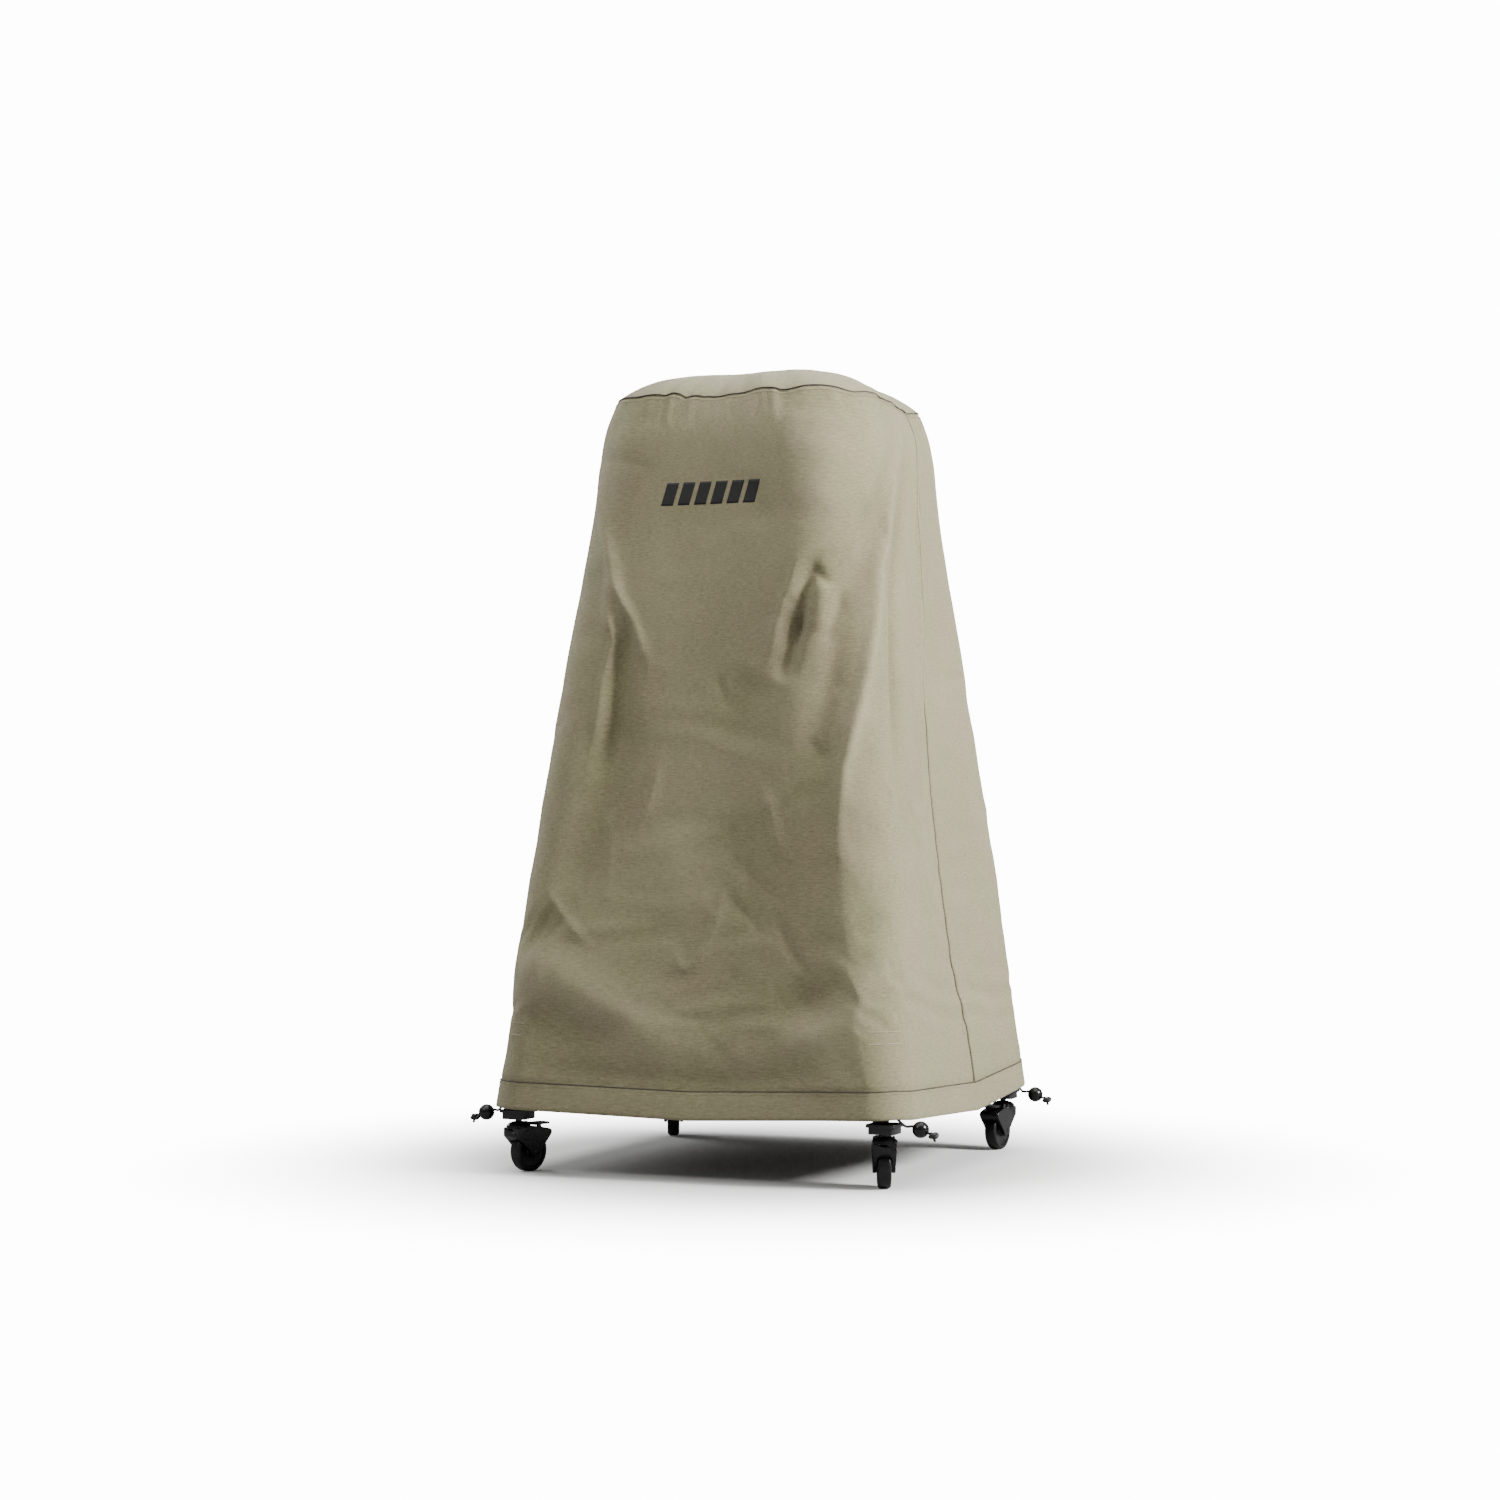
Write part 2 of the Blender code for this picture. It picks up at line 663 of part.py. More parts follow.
def make_stand():
    mesh = shared_mesh(foot_mesh(), "coated_steel")
    for corner, (side_x, side_y, _) in CORNERS.items():
        item = bpy.data.objects.new("foot_" + corner, mesh)
        item.location = (side_x * STEM_PLACE, side_y * STEM_PLACE, 0)
        MODEL.objects.link(item)
        make_leg(corner, side_x, side_y)
    place = leg_point(RAIL_HEIGHT)
    half = leg_point(RAIL_HEIGHT + RAIL_RADIUS) - LEG_RADIUS * 1.02 - TOUCH_GAP
    for name, side in (("rail_left", -1), ("rail_right", 1)):
        start = (side * place, -half, RAIL_HEIGHT)
        end = (side * place, half, RAIL_HEIGHT)
        finish_object(name, cylinder_mesh(RAIL_RADIUS, start, end, 16), "coated_steel")
    shelf_bottom = RAIL_HEIGHT + RAIL_RADIUS + TOUCH_GAP
    shelf = plate_mesh(*SHELF_HALF, SHELF_CORNER, shelf_bottom, shelf_bottom + SHELF_THICK, 3)
    finish_object("lower_shelf", shelf, "coated_steel")
    size = (TRAY_HALF, TRAY_HALF, TRAY_CORNER, TRAY_BOTTOM, TRAY_TOP)
    tray = hollow_below(bevel_mesh(plate_mesh(*size), 0.001, 1), *size, TRAY_WALL)
    finish_object("top_tray", tray, "coated_steel")


# Oven

def make_oven():
    size = (OVEN_HALF, OVEN_HALF, OVEN_CORNER, OVEN_BOTTOM, OVEN_BASE_TOP)
    base = hollow_below(bevel_mesh(plate_mesh(*size, 4), 0.0025, 1), *size, OVEN_BASE_WALL, 4)
    finish_object("oven_base", base, "oven_coat")
    low = OVEN_BASE_TOP + TOUCH_GAP
    outline = rounded_square(OVEN_HALF, OVEN_HALF, OVEN_CORNER, 4)
    outline.reverse()
    rows = [[Vector((x, y, z)) for x, y in outline] for z in (low, OVEN_WALL_MIDDLE, DOME_SHOULDER - TOUCH_GAP)]
    mouth = outline_mesh(
        [(-MOUTH_HALF, 0.90), (MOUTH_HALF, 0.90)]
        + arc_points((MOUTH_HALF - MOUTH_CORNER, MOUTH_TOP - MOUTH_CORNER), MOUTH_CORNER, 0, 90, 4)
        + arc_points((-MOUTH_HALF + MOUTH_CORNER, MOUTH_TOP - MOUTH_CORNER), MOUTH_CORNER, 90, 180, 4),
        MOUTH_DEPTH_HALF,
    )
    mouth.transform(Matrix.Translation((0, -OVEN_HALF, 0)) @ Matrix.Rotation(math.pi / 2, 4, "X"))
    wall = combine(shell_mesh(rows, DOME_WALL, closed_round=True), mouth, "DIFFERENCE")
    finish_object("oven_wall", wall, "oven_coat")

    levels = [(1.0, DOME_SHOULDER), (1.0, DOME_SHOULDER + DOME_UPRIGHT)]
    for share in (0.97, 0.90, 0.80, 0.66, 0.45, 0.2):
        drop = (DOME_TOP - DOME_SHOULDER) * share ** DOME_POWER
        levels.append((share, DOME_TOP - drop))
    rows = [[Vector((x * share, y * share, z)) for x, y in outline] for share, z in levels]
    crown = plate_mesh(0.055, 0.055, 0.02, rows[-1][0].z - DOME_WALL, rows[-1][0].z, 3)
    dome = combine(shell_mesh(rows, DOME_WALL, closed_round=True), crown, "UNION")
    finish_object("oven_dome", dome, "oven_coat")

    stone = plate_mesh(STONE_HALF, STONE_HALF, STONE_CORNER, low, low + STONE_THICK, 3)
    finish_object("oven_stone", stone, "stone")


clear_scene()
MODEL = make_collection("covered_oven")
MATERIALS = {name: make_material(name) for name in FINISHES}
make_top_panel()
make_body_panels()
make_hems()
make_side_tapes()
for corner_name, (x_side, y_side, _) in CORNERS.items():
    make_strap(corner_name, x_side, y_side)
    make_tie(corner_name, x_side, y_side)
make_casters()
make_stand()
make_oven()
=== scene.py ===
"""Looks of the grill cover on its wheeled stand: cloth, cords, casters, materials, light and camera."""
import math
import random

import bpy
import numpy as np
from mathutils import Matrix, Vector


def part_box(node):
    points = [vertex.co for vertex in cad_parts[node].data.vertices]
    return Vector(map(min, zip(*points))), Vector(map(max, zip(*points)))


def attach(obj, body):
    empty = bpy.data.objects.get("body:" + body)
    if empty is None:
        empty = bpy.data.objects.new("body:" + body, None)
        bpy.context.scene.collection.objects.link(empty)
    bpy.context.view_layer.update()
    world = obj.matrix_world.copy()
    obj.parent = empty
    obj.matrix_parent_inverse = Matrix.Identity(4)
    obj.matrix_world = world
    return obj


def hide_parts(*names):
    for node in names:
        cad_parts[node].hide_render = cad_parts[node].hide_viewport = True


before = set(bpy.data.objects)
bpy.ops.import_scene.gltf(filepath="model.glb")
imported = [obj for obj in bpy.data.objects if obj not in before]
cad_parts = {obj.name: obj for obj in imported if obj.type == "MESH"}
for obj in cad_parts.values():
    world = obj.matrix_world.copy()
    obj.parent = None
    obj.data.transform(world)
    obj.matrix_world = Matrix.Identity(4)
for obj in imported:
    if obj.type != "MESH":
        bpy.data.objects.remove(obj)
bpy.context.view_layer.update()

# Cover wall, in metres. Turn counts quarter turns: 0 is the middle of the right face, 1 the front,
# 2 the left and 3 the back.
HEM_BOTTOM = 0.100
HEM_TOP = 0.1425
SEAM_HEIGHT = 1.200
HEM_HALF = 0.342
TOP_HALF = 0.222
HEM_CORNER = 0.055
TOP_CORNER = 0.120
FACE_HOLLOW = 0.010
STRAIGHT_TURN = 0.4
MIDDLE_STRAIGHT = 0.1945
MIDDLE_CORNER = 0.1375
QUARTER_METRES = 2 * MIDDLE_STRAIGHT + MIDDLE_CORNER
CANVAS_THICK = 0.0012

# Top of the cover: the crown's height and how square it is, the rounding of the shoulder under the seam,
# and how far the seam rises along the sides, rises more at the corners, and tucks in.
CROWN_TOP = 1.2615
CROWN_POWER = 4.2
SHOULDER_LIFT = 0.005
SHOULDER_DROP = 0.20
SEAM_LIFT = 0.008
SEAM_CORNER_LIFT = 0.010
SEAM_TUCK = 0.008
SEAM_REACH = 0.070
SEAM_WAVE_REACH = 0.022
# Radius of the dark tubes in the seam grooves, which are painted shadow lines
SEAM_SHADOW_RADIUS = 0.0011

# Folds: a fold's reach in its own widths, the share of its length over which it rises, and its depth at
# an end. Near the hem the folds die away and the hem drops. At this depth a fold gets the canvas's full
# painted highlight on its crest, or full painted shade in its valley.
FOLD_REACH = 4.5
FOLD_TAPER = 0.3
FOLD_END = 0.15
FOLD_FADE = 0.06
HEM_DROP_REACH = 0.10
FOLD_SHADE_DEPTH = 0.010
SIDE_SEAM_REACH = 0.7
LEFT_SEAM_SHARE = 0.6

# Camera, as worked out from the places of the four casters in the photo
CAMERA_LENS = 66.17
CAMERA_SENSOR = 36
CAMERA_SHIFT = (-0.0133, 0.0595)
CAMERA_PLACE = (1.646, -4.154, 0.519)
CAMERA_TURN = 0.3773

# Studio. Strengths and colours of the floor and the backdrop, and the sweep's nearest and farthest metres.
AMBIENT_STRENGTH = 0.27
BACKDROP_STRENGTH = 14.0
FLOOR_COLOUR = (0.72, 0.72, 0.72)
FLOOR_BOUNCE = (0.26, 0.26, 0.26)
SWEEP_START = 0.38
SWEEP_END = 1.15

# Cloth grid
STRAIGHT_STEPS = 36
CORNER_STEPS = 28
HEM_ROWS = 10
WALL_ROWS = 200

# How the cloth settles. The hold counts rows of the simulated grid: those of the hem, which are held fully,
# and how many it fades over above the hem and under the seam.
HELD_HEM_ROWS = 6
FADE_ABOVE_HEM = 12
FADE_UNDER_SEAM = 5
CLOTH_SPARE = 0.0011
CLOTH_HOLD = 0.35
CLOTH_BENDING = 6.0
CLOTH_FRAMES = 12
CLOTH_CAP = 0.006
CLOTH_WEIGHT = 0.25

# Straps and tapes inside the cover. A strap's place is its corner, the turn it is measured from and the way.
STRAP_TURNS = (0.462, 0.566)
STRAP_BOTTOM = 0.126
STRAP_TOP = 0.243
STRAP_PLACES = (("front_right", 0, 1), ("front_left", 2, -1), ("back_left", 2, 1), ("back_right", 4, -1))
TAPE_TURN = 0.018
STRIP_THICK = 0.0012

# Ties. The ball's place and the cord's route from its strap are those of the back right corner.
TIE_RADIUS = 0.002
BALL_RADIUS = 0.0125
BALL_BORE = 0.0027
BALL_PLACE = (0.358, 0.302, 0.0918)
BALL_TILT = math.radians(22)
KNOT_RADIUS = 0.0085
KNOT_STRAND = 0.0029
KNOT_DISTANCE = 0.0215
TAIL_LENGTH = 0.009
TIE_ROUTE = (
    (0.3141, 0.3214, 0.1240),
    (0.3173, 0.3162, 0.1165),
    (0.3233, 0.3110, 0.1085),
    (0.3295, 0.3072, 0.1012),
    (0.3364, 0.3037, 0.0957),
    (0.3464, 0.3020, 0.0962),
)

# Stitches
STITCH_PITCH = 0.0042
STITCH_LENGTH = 0.0031
STITCH_RADIUS = 0.00035
TACK_PITCH = 0.0023
TACK_LENGTH = 0.0019
TACK_RADIUS = 0.00045
TACK_TURNS = ((0.460, 0.568), (1.432, 1.540), (2.460, 2.568), (3.432, 3.540))
TACK_HEIGHTS = (0.2150, 0.2335)

# Printed mark on the front
MARK_ACROSS = (-0.087, 0.085)
MARK_UP = (1.036, 1.071)
MARK_BARS = 6
MARK_SLANT = 0.010
MARK_FILL = 0.72

# Wheels. The side is half of the section from the tread to the bore, as (radius, half width).
WHEEL_RADIUS = 0.0325
WHEEL_HALF_WIDTH = 0.0100
WHEEL_ROUNDING = 0.0045
WHEEL_SIDE = (
    (0.0262, 0.0100),
    (0.0252, 0.0094),
    (0.0246, 0.0076),
    (0.0180, 0.0066),
    (0.0112, 0.0070),
    (0.0104, 0.0078),
    (0.0100, 0.0105),
    (0.0092, 0.0110),
    (0.0040, 0.0110),
    (0.0034, 0.0104),
)

# Edges of the carried-over nodes, in degrees: what stays sharp in the shading, and what is bevelled
SHARP_DEGREES = 32
BEVEL_DEGREES = 35

CORNERS = {
    "front_right": (1, -1),
    "front_left": (-1, -1),
    "back_right": (1, 1),
    "back_left": (-1, 1),
}


# Camera

def make_camera():
    data = bpy.data.cameras.new("camera")
    data.lens = CAMERA_LENS
    data.sensor_width = CAMERA_SENSOR
    data.shift_x, data.shift_y = CAMERA_SHIFT
    data.clip_end = 60
    camera = bpy.data.objects.new("camera", data)
    camera.location = CAMERA_PLACE
    camera.rotation_euler = (math.pi / 2, 0, CAMERA_TURN)
    bpy.context.scene.collection.objects.link(camera)
    bpy.context.scene.camera = camera


# Small helpers

def link_object(item):
    bpy.context.scene.collection.objects.link(item)
    return item


def mesh_object(name, points, faces, material):
    mesh = bpy.data.meshes.new(name)
    mesh.from_pydata([tuple(point) for point in points], [], faces)
    mesh.update()
    mesh.shade_smooth()
    mesh.materials.append(material)
    return link_object(bpy.data.objects.new(name, mesh))


def evaluated_mesh(item):
    """The mesh of an object with its modifiers, after which the object goes."""
    graph = bpy.context.evaluated_depsgraph_get()
    mesh = bpy.data.meshes.new_from_object(item.evaluated_get(graph))
    mesh.transform(item.matrix_world)
    bpy.data.objects.remove(item)
    return mesh


def smooth_line(points, steps):
    """Points along a Catmull-Rom curve through the given points."""
    points = [np.array(point, float) for point in points]
    ends = [2 * points[0] - points[1]] + points + [2 * points[-1] - points[-2]]
    line = []
    for before, start, end, after in zip(ends, ends[1:], ends[2:], ends[3:]):
        for step in range(steps):
            t = step / steps
            line.append(
                0.5 * (
                    2 * start
                    + (end - before) * t
                    + (2 * before - 5 * start + 4 * end - after) * t ** 2
                    + (3 * start - before - 3 * end + after) * t ** 3
                )
            )
    return line + [points[-1]]


def curve_object(name, line, radius, material, cyclic=False):
    data = bpy.data.curves.new(name, "CURVE")
    data.dimensions = "3D"
    data.bevel_depth = radius
    data.bevel_resolution = 4
    data.use_fill_caps = not cyclic
    spline = data.splines.new("POLY")
    spline.points.add(len(line) - 1)
    for point, place in zip(spline.points, line):
        point.co = (*place, 1)
    spline.use_cyclic_u = cyclic
    spline.use_smooth = True
    data.materials.append(material)
    return link_object(bpy.data.objects.new(name, data))


def grid_faces(columns, rows, round_columns=False, round_rows=False, flipped=False):
    """Four-cornered faces over points stored column by column. A grid may close on itself either way."""
    faces = []
    for column in range(columns if round_columns else columns - 1):
        here = column * rows
        onward = (column + 1) % columns * rows
        for row in range(rows if round_rows else rows - 1):
            up = (row + 1) % rows
            face = [here + row, onward + row, onward + up, here + up]
            faces.append([face[0]] + face[:0:-1] if flipped else face)
    return faces


def turned_mesh(profile, sides):
    """Ring of faces round Z through a closed profile of (radius, height) points."""
    points = []
    for side in range(sides):
        angle = 2 * math.pi * side / sides
        points += [(r * math.cos(angle), r * math.sin(angle), z) for r, z in profile]
    faces = grid_faces(sides, len(profile), round_columns=True, round_rows=True)
    mesh = bpy.data.meshes.new("turned")
    mesh.from_pydata(points, [], faces)
    return mesh


def turned_object(name, profile, sides, place, axis, material):
    """A turned piece that stands at a place, with the profile's heights along an axis."""
    mesh = turned_mesh(profile, sides)
    mesh.transform(Matrix.Translation(place) @ axis.to_track_quat("Z", "Y").to_matrix().to_4x4())
    mesh.shade_smooth()
    mesh.materials.append(material)
    return link_object(bpy.data.objects.new(name, mesh))


def arc(centre, radius, start_degrees, end_degrees, count):
    angles = np.radians(np.linspace(start_degrees, end_degrees, count))
    return [(centre[0] + radius * math.cos(a), centre[1] + radius * math.sin(a)) for a in angles]


# Materials

def new_material(name, colour, roughness, metallic=0.0):
    material = bpy.data.materials.new(name)
    material.use_nodes = True
    tree = material.node_tree
    shader = tree.nodes["Principled BSDF"]
    shader.inputs["Base Color"].default_value = (*colour, 1)
    shader.inputs["Roughness"].default_value = roughness
    shader.inputs["Metallic"].default_value = metallic
    return material, tree, shader


def add_node(tree, kind, inputs, **settings):
    """A node whose inputs are sockets to link from, or plain values."""
    item = tree.nodes.new(kind)
    for key, value in settings.items():
        setattr(item, key, value)
    for key, value in inputs.items():
        if isinstance(value, bpy.types.NodeSocket):
            tree.links.new(value, item.inputs[key])
        else:
            item.inputs[key].default_value = value
    return item


def maths(tree, operation, first, second=0.0):
    return add_node(tree, "ShaderNodeMath", {0: first, 1: second}, operation=operation).outputs[0]


def times(tree, first, second):
    return maths(tree, "MULTIPLY", first, second)


def plus(tree, first, second):
    return maths(tree, "ADD", first, second)


def noise(tree, vector, scale, detail):
    inputs = {"Vector": vector, "Scale": scale, "Detail": detail, "Roughness": 0.55}
    return add_node(tree, "ShaderNodeTexNoise", inputs).outputs["Fac"]


def remap(tree, value, low, high, to_low, to_high):
    inputs = {0: value, 1: low, 2: high, 3: to_low, 4: to_high}
    return add_node(tree, "ShaderNodeMapRange", inputs).outputs[0]


def mix_colour(tree, factor, first, second, blend="MIX"):
    inputs = {"Factor": factor, 6: first, 7: second}
    item = add_node(tree, "ShaderNodeMix", inputs, data_type="RGBA", blend_type=blend)
    return item.outputs[2]


def object_place(tree, scale=(1, 1, 1)):
    place = tree.nodes.new("ShaderNodeTexCoord").outputs["Object"]
    return add_node(tree, "ShaderNodeMapping", {"Vector": place, "Scale": scale}).outputs[0]


def paint(tree, colour):
    tree.links.new(colour, tree.nodes["Principled BSDF"].inputs["Base Color"])


def add_bump(tree, shader, height, strength, distance):
    inputs = {"Height": height, "Strength": strength, "Distance": distance}
    item = add_node(tree, "ShaderNodeBump", inputs)
    tree.links.new(item.outputs[0], shader.inputs["Normal"])


def cloth_coordinates(tree, scale=(1, 1, 1)):
    """Metres along and up the cloth, which each cloth mesh keeps in its cloth_place attribute."""
    place = add_node(tree, "ShaderNodeAttribute", {}, attribute_name="cloth_place").outputs["Vector"]
    return add_node(tree, "ShaderNodeMapping", {"Vector": place, "Scale": scale}).outputs[0]


def plain_weave(tree, pitch):
    """Height of a plain weave: warp over weft and weft over warp, by turns."""
    parts = add_node(tree, "ShaderNodeSeparateXYZ", {"Vector": cloth_coordinates(tree)}).outputs
    along = times(tree, parts[0], math.pi / pitch)
    up = times(tree, parts[1], math.pi / pitch)
    warp = maths(tree, "SINE", along)
    weft = maths(tree, "SINE", up)
    over = times(tree, warp, weft)
    rounds = plus(tree, maths(tree, "ABSOLUTE", warp), maths(tree, "ABSOLUTE", weft))
    return plus(tree, times(tree, over, 0.4), rounds)


def canvas_material():
    """Olive khaki canvas: plain weave with slubs and random tone; painted highlight on high folds, painted
    shade in low ones.
    """
    dark = (0.158, 0.140, 0.076, 1)
    light = (0.258, 0.236, 0.146, 1)
    material, tree, shader = new_material("canvas", dark[:3], 0.88)
    shader.inputs["Sheen Weight"].default_value = 0.16
    shader.inputs["Sheen Roughness"].default_value = 0.45
    shader.inputs["Specular IOR Level"].default_value = 0.22
    broad = noise(tree, cloth_coordinates(tree), 3.2, 4)
    patches = noise(tree, cloth_coordinates(tree), 26, 5)
    weft_slubs = noise(tree, cloth_coordinates(tree, (60, 900, 1)), 1.0, 3)
    warp_slubs = noise(tree, cloth_coordinates(tree, (1100, 90, 1)), 1.0, 2)
    flecks = noise(tree, cloth_coordinates(tree), 520, 2)
    streaks = noise(tree, cloth_coordinates(tree, (85, 430, 1)), 1.0, 3)
    mottle = noise(tree, cloth_coordinates(tree, (230, 300, 1)), 1.0, 3)
    tone_and_fold_shade = remap(tree, broad, 0.3, 0.7, 0.30, 0.62)
    tone_and_fold_shade = plus(tree, tone_and_fold_shade, times(tree, patches, 0.18))
    yarn = plus(tree, times(tree, weft_slubs, 0.42), times(tree, warp_slubs, 0.24))
    tone_and_fold_shade = plus(tree, tone_and_fold_shade, maths(tree, "SUBTRACT", yarn, 0.33))
    coarse = plus(tree, times(tree, streaks, 1.45), times(tree, mottle, 0.95))
    tone_and_fold_shade = plus(tree, tone_and_fold_shade, maths(tree, "SUBTRACT", coarse, 1.20))
    # Painted highlight and shade: the cloth's relief paints raised folds lighter and hollow folds darker.
    relief = add_node(tree, "ShaderNodeAttribute", {}, attribute_name="relief").outputs["Fac"]
    tone_and_fold_shade = plus(tree, tone_and_fold_shade, times(tree, relief, 0.30))
    colour = mix_colour(tree, tone_and_fold_shade, dark, light)
    hue = remap(tree, noise(tree, cloth_coordinates(tree), 9, 3), 0.36, 0.64, 0, 1)
    tint = mix_colour(tree, hue, (0.965, 1.015, 0.96, 1), (1.035, 0.985, 1.04, 1))
    colour = mix_colour(tree, 1.0, colour, tint, "MULTIPLY")
    speckle = remap(tree, flecks, 0.35, 0.72, 0.93, 1.06)
    shade = add_node(tree, "ShaderNodeCombineColor", {0: speckle, 1: speckle, 2: speckle}).outputs[0]
    paint(tree, mix_colour(tree, 1.0, colour, shade, "MULTIPLY"))
    tree.links.new(remap(tree, patches, 0.3, 0.7, 0.82, 0.94), shader.inputs["Roughness"])
    height = plus(tree, plain_weave(tree, 0.00085), times(tree, weft_slubs, 1.5))
    add_bump(tree, shader, height, 0.55, 0.00030)
    return material


def thread_material(name, colour):
    material, tree, shader = new_material(name, colour, 0.7)
    twist = noise(tree, object_place(tree, (1600, 1600, 1600)), 1.0, 2)
    bright = (*[min(1, 1.5 * part) for part in colour], 1)
    paint(tree, mix_colour(tree, twist, (*colour, 1), bright))
    add_bump(tree, shader, twist, 0.4, 0.0001)
    return material


def print_material():
    """Black screen print, slightly broken up by the weave under it."""
    material, tree, shader = new_material("black_print", (0.002, 0.002, 0.002), 0.75)
    wear = noise(tree, cloth_coordinates(tree), 900, 3)
    patch = remap(tree, wear, 0.55, 0.8, 0.0, 0.35)
    colour = mix_colour(tree, patch, (0.0015, 0.0015, 0.0015, 1), (0.008, 0.0075, 0.006, 1))
    paint(tree, colour)
    add_bump(tree, shader, plain_weave(tree, 0.00085), 0.35, 0.00015)
    return material


def webbing_material():
    """Black webbing: ribs across the strap, with fuzz."""
    material, tree, shader = new_material("webbing", (0.022, 0.022, 0.022), 0.85)
    place = object_place(tree)
    parts = add_node(tree, "ShaderNodeSeparateXYZ", {"Vector": place}).outputs
    wave = maths(tree, "SINE", times(tree, parts[2], math.pi / 0.0016))
    ribs = maths(tree, "ABSOLUTE", wave)
    fuzz = noise(tree, place, 900, 3)
    colour = mix_colour(tree, fuzz, (0.015, 0.015, 0.015, 1), (0.04, 0.04, 0.04, 1))
    paint(tree, colour)
    add_bump(tree, shader, plus(tree, ribs, fuzz), 0.6, 0.0003)
    return material


def elastic_material():
    """Black braided sleeve of an elastic cord: two sets of crossing strands."""
    material, tree, shader = new_material("elastic", (0.014, 0.014, 0.015), 0.6)
    place = object_place(tree)
    inputs = {"Vector": place, "Scale": 900, "Distortion": 0.5, "Detail": 1.0}
    first = add_node(tree, "ShaderNodeTexWave", inputs, bands_direction="DIAGONAL").outputs["Fac"]
    strands = add_node(tree, "ShaderNodeTexVoronoi", {"Vector": place, "Scale": 1100}).outputs["Distance"]
    shade = times(tree, first, strands)
    colour = mix_colour(tree, shade, (0.004, 0.004, 0.004, 1), (0.018, 0.018, 0.019, 1))
    paint(tree, colour)
    add_bump(tree, shader, strands, 0.5, 0.0003)
    return material


def moulded_material(name, colour, roughness, grain, wear):
    """Moulded black plastic: fine spark grain, rubbed and dusty in patches."""
    material, tree, shader = new_material(name, colour, roughness)
    shader.inputs["Specular IOR Level"].default_value = 0.32
    place = object_place(tree)
    fine = noise(tree, place, 1400, 3)
    patches = noise(tree, place, 60, 4)
    dust = (*[part * 2.2 + 0.002 for part in colour], 1)
    share = remap(tree, patches, 0.45, 0.75, 0.0, wear)
    paint(tree, mix_colour(tree, share, (*colour, 1), dust))
    rough = remap(tree, patches, 0.3, 0.7, roughness - 0.06, roughness + 0.10)
    tree.links.new(rough, shader.inputs["Roughness"])
    add_bump(tree, shader, fine, grain, 0.0001)
    return material


def coated_material(name, colour, roughness):
    """Powder coat: orange peel and faint handling marks."""
    material, tree, shader = new_material(name, colour, roughness)
    place = object_place(tree)
    peel = noise(tree, place, 700, 2)
    marks = noise(tree, object_place(tree, (18, 18, 90)), 1.0, 4)
    pale = (*[part * 1.8 + 0.002 for part in colour], 1)
    share = remap(tree, marks, 0.5, 0.8, 0.0, 0.5)
    paint(tree, mix_colour(tree, share, (*colour, 1), pale))
    rough = remap(tree, marks, 0.3, 0.7, roughness - 0.05, roughness + 0.12)
    tree.links.new(rough, shader.inputs["Roughness"])
    add_bump(tree, shader, peel, 0.35, 0.00012)
    return material


def dark_zinc_material():
    """Black passivated steel, cloudy where it has been handled."""
    material, tree, shader = new_material("dark_zinc", (0.05, 0.05, 0.052), 0.34, 1.0)
    cloudy = noise(tree, object_place(tree), 160, 4)
    colour = mix_colour(tree, cloudy, (0.030, 0.030, 0.032, 1), (0.085, 0.084, 0.080, 1))
    paint(tree, colour)
    tree.links.new(remap(tree, cloudy, 0.3, 0.7, 0.25, 0.45), shader.inputs["Roughness"])
    add_bump(tree, shader, cloudy, 0.15, 0.0001)
    return material


def stone_material():
    """Cordierite baking stone: pale, sandy and speckled, with a few scorched patches."""
    material, tree, shader = new_material("stone", (0.55, 0.49, 0.40), 0.93)
    place = object_place(tree)
    sand = noise(tree, place, 900, 4)
    scorch = noise(tree, place, 9, 5)
    base = mix_colour(tree, sand, (0.42, 0.36, 0.28, 1), (0.66, 0.60, 0.50, 1))
    share = remap(tree, scorch, 0.55, 0.8, 0.0, 0.7)
    paint(tree, mix_colour(tree, share, base, (0.16, 0.12, 0.09, 1)))
    add_bump(tree, shader, sand, 0.6, 0.0004)
    return material


def floor_material():
    """Pale floor that runs out into a white sweep a step away from the object."""
    material, tree, shader = new_material("pale_floor", FLOOR_COLOUR, 0.75)
    shader.inputs["Specular IOR Level"].default_value = 0.2
    seen = tree.nodes.new("ShaderNodeLightPath").outputs["Is Camera Ray"]
    colour = mix_colour(tree, seen, (*FLOOR_BOUNCE, 1), (*FLOOR_COLOUR, 1))
    paint(tree, colour)
    place = object_place(tree)
    away = add_node(tree, "ShaderNodeVectorMath", {0: place}, operation="LENGTH").outputs["Value"]
    reach = {0: away, 1: SWEEP_START, 2: SWEEP_END}
    sweep = add_node(tree, "ShaderNodeMapRange", reach, interpolation_type="SMOOTHSTEP").outputs[0]
    glow = add_node(tree, "ShaderNodeEmission", {"Strength": BACKDROP_STRENGTH}).outputs[0]
    share = times(tree, sweep, seen)
    mixed = add_node(tree, "ShaderNodeMixShader", {0: share, 1: shader.outputs[0], 2: glow}).outputs[0]
    tree.links.new(mixed, tree.nodes["Material Output"].inputs["Surface"])
    return material


# Cords: an elastic tie at each bottom corner, from its strap through the ball to its knot

def at_corner(point, side_x, side_y):
    return Vector((point[0] * side_x, point[1] * side_y, point[2]))


def tie_direction(side_x):
    return Vector((side_x * math.cos(BALL_TILT), 0, -math.sin(BALL_TILT)))


def knot_mesh(material):
    """Overhand knot pulled tight: a cord that follows a trefoil."""
    turns = np.linspace(0, 2 * math.pi, 60, endpoint=False)
    unit = (KNOT_RADIUS - KNOT_STRAND) / 3.05
    line = []
    for turn in turns:
        reach = 2 + math.cos(3 * turn)
        place = (reach * math.cos(2 * turn), reach * math.sin(2 * turn), 1.25 * math.sin(3 * turn))
        line.append(Vector(place) * unit)
    return evaluated_mesh(curve_object("knot_turns", line, KNOT_STRAND, material, cyclic=True))


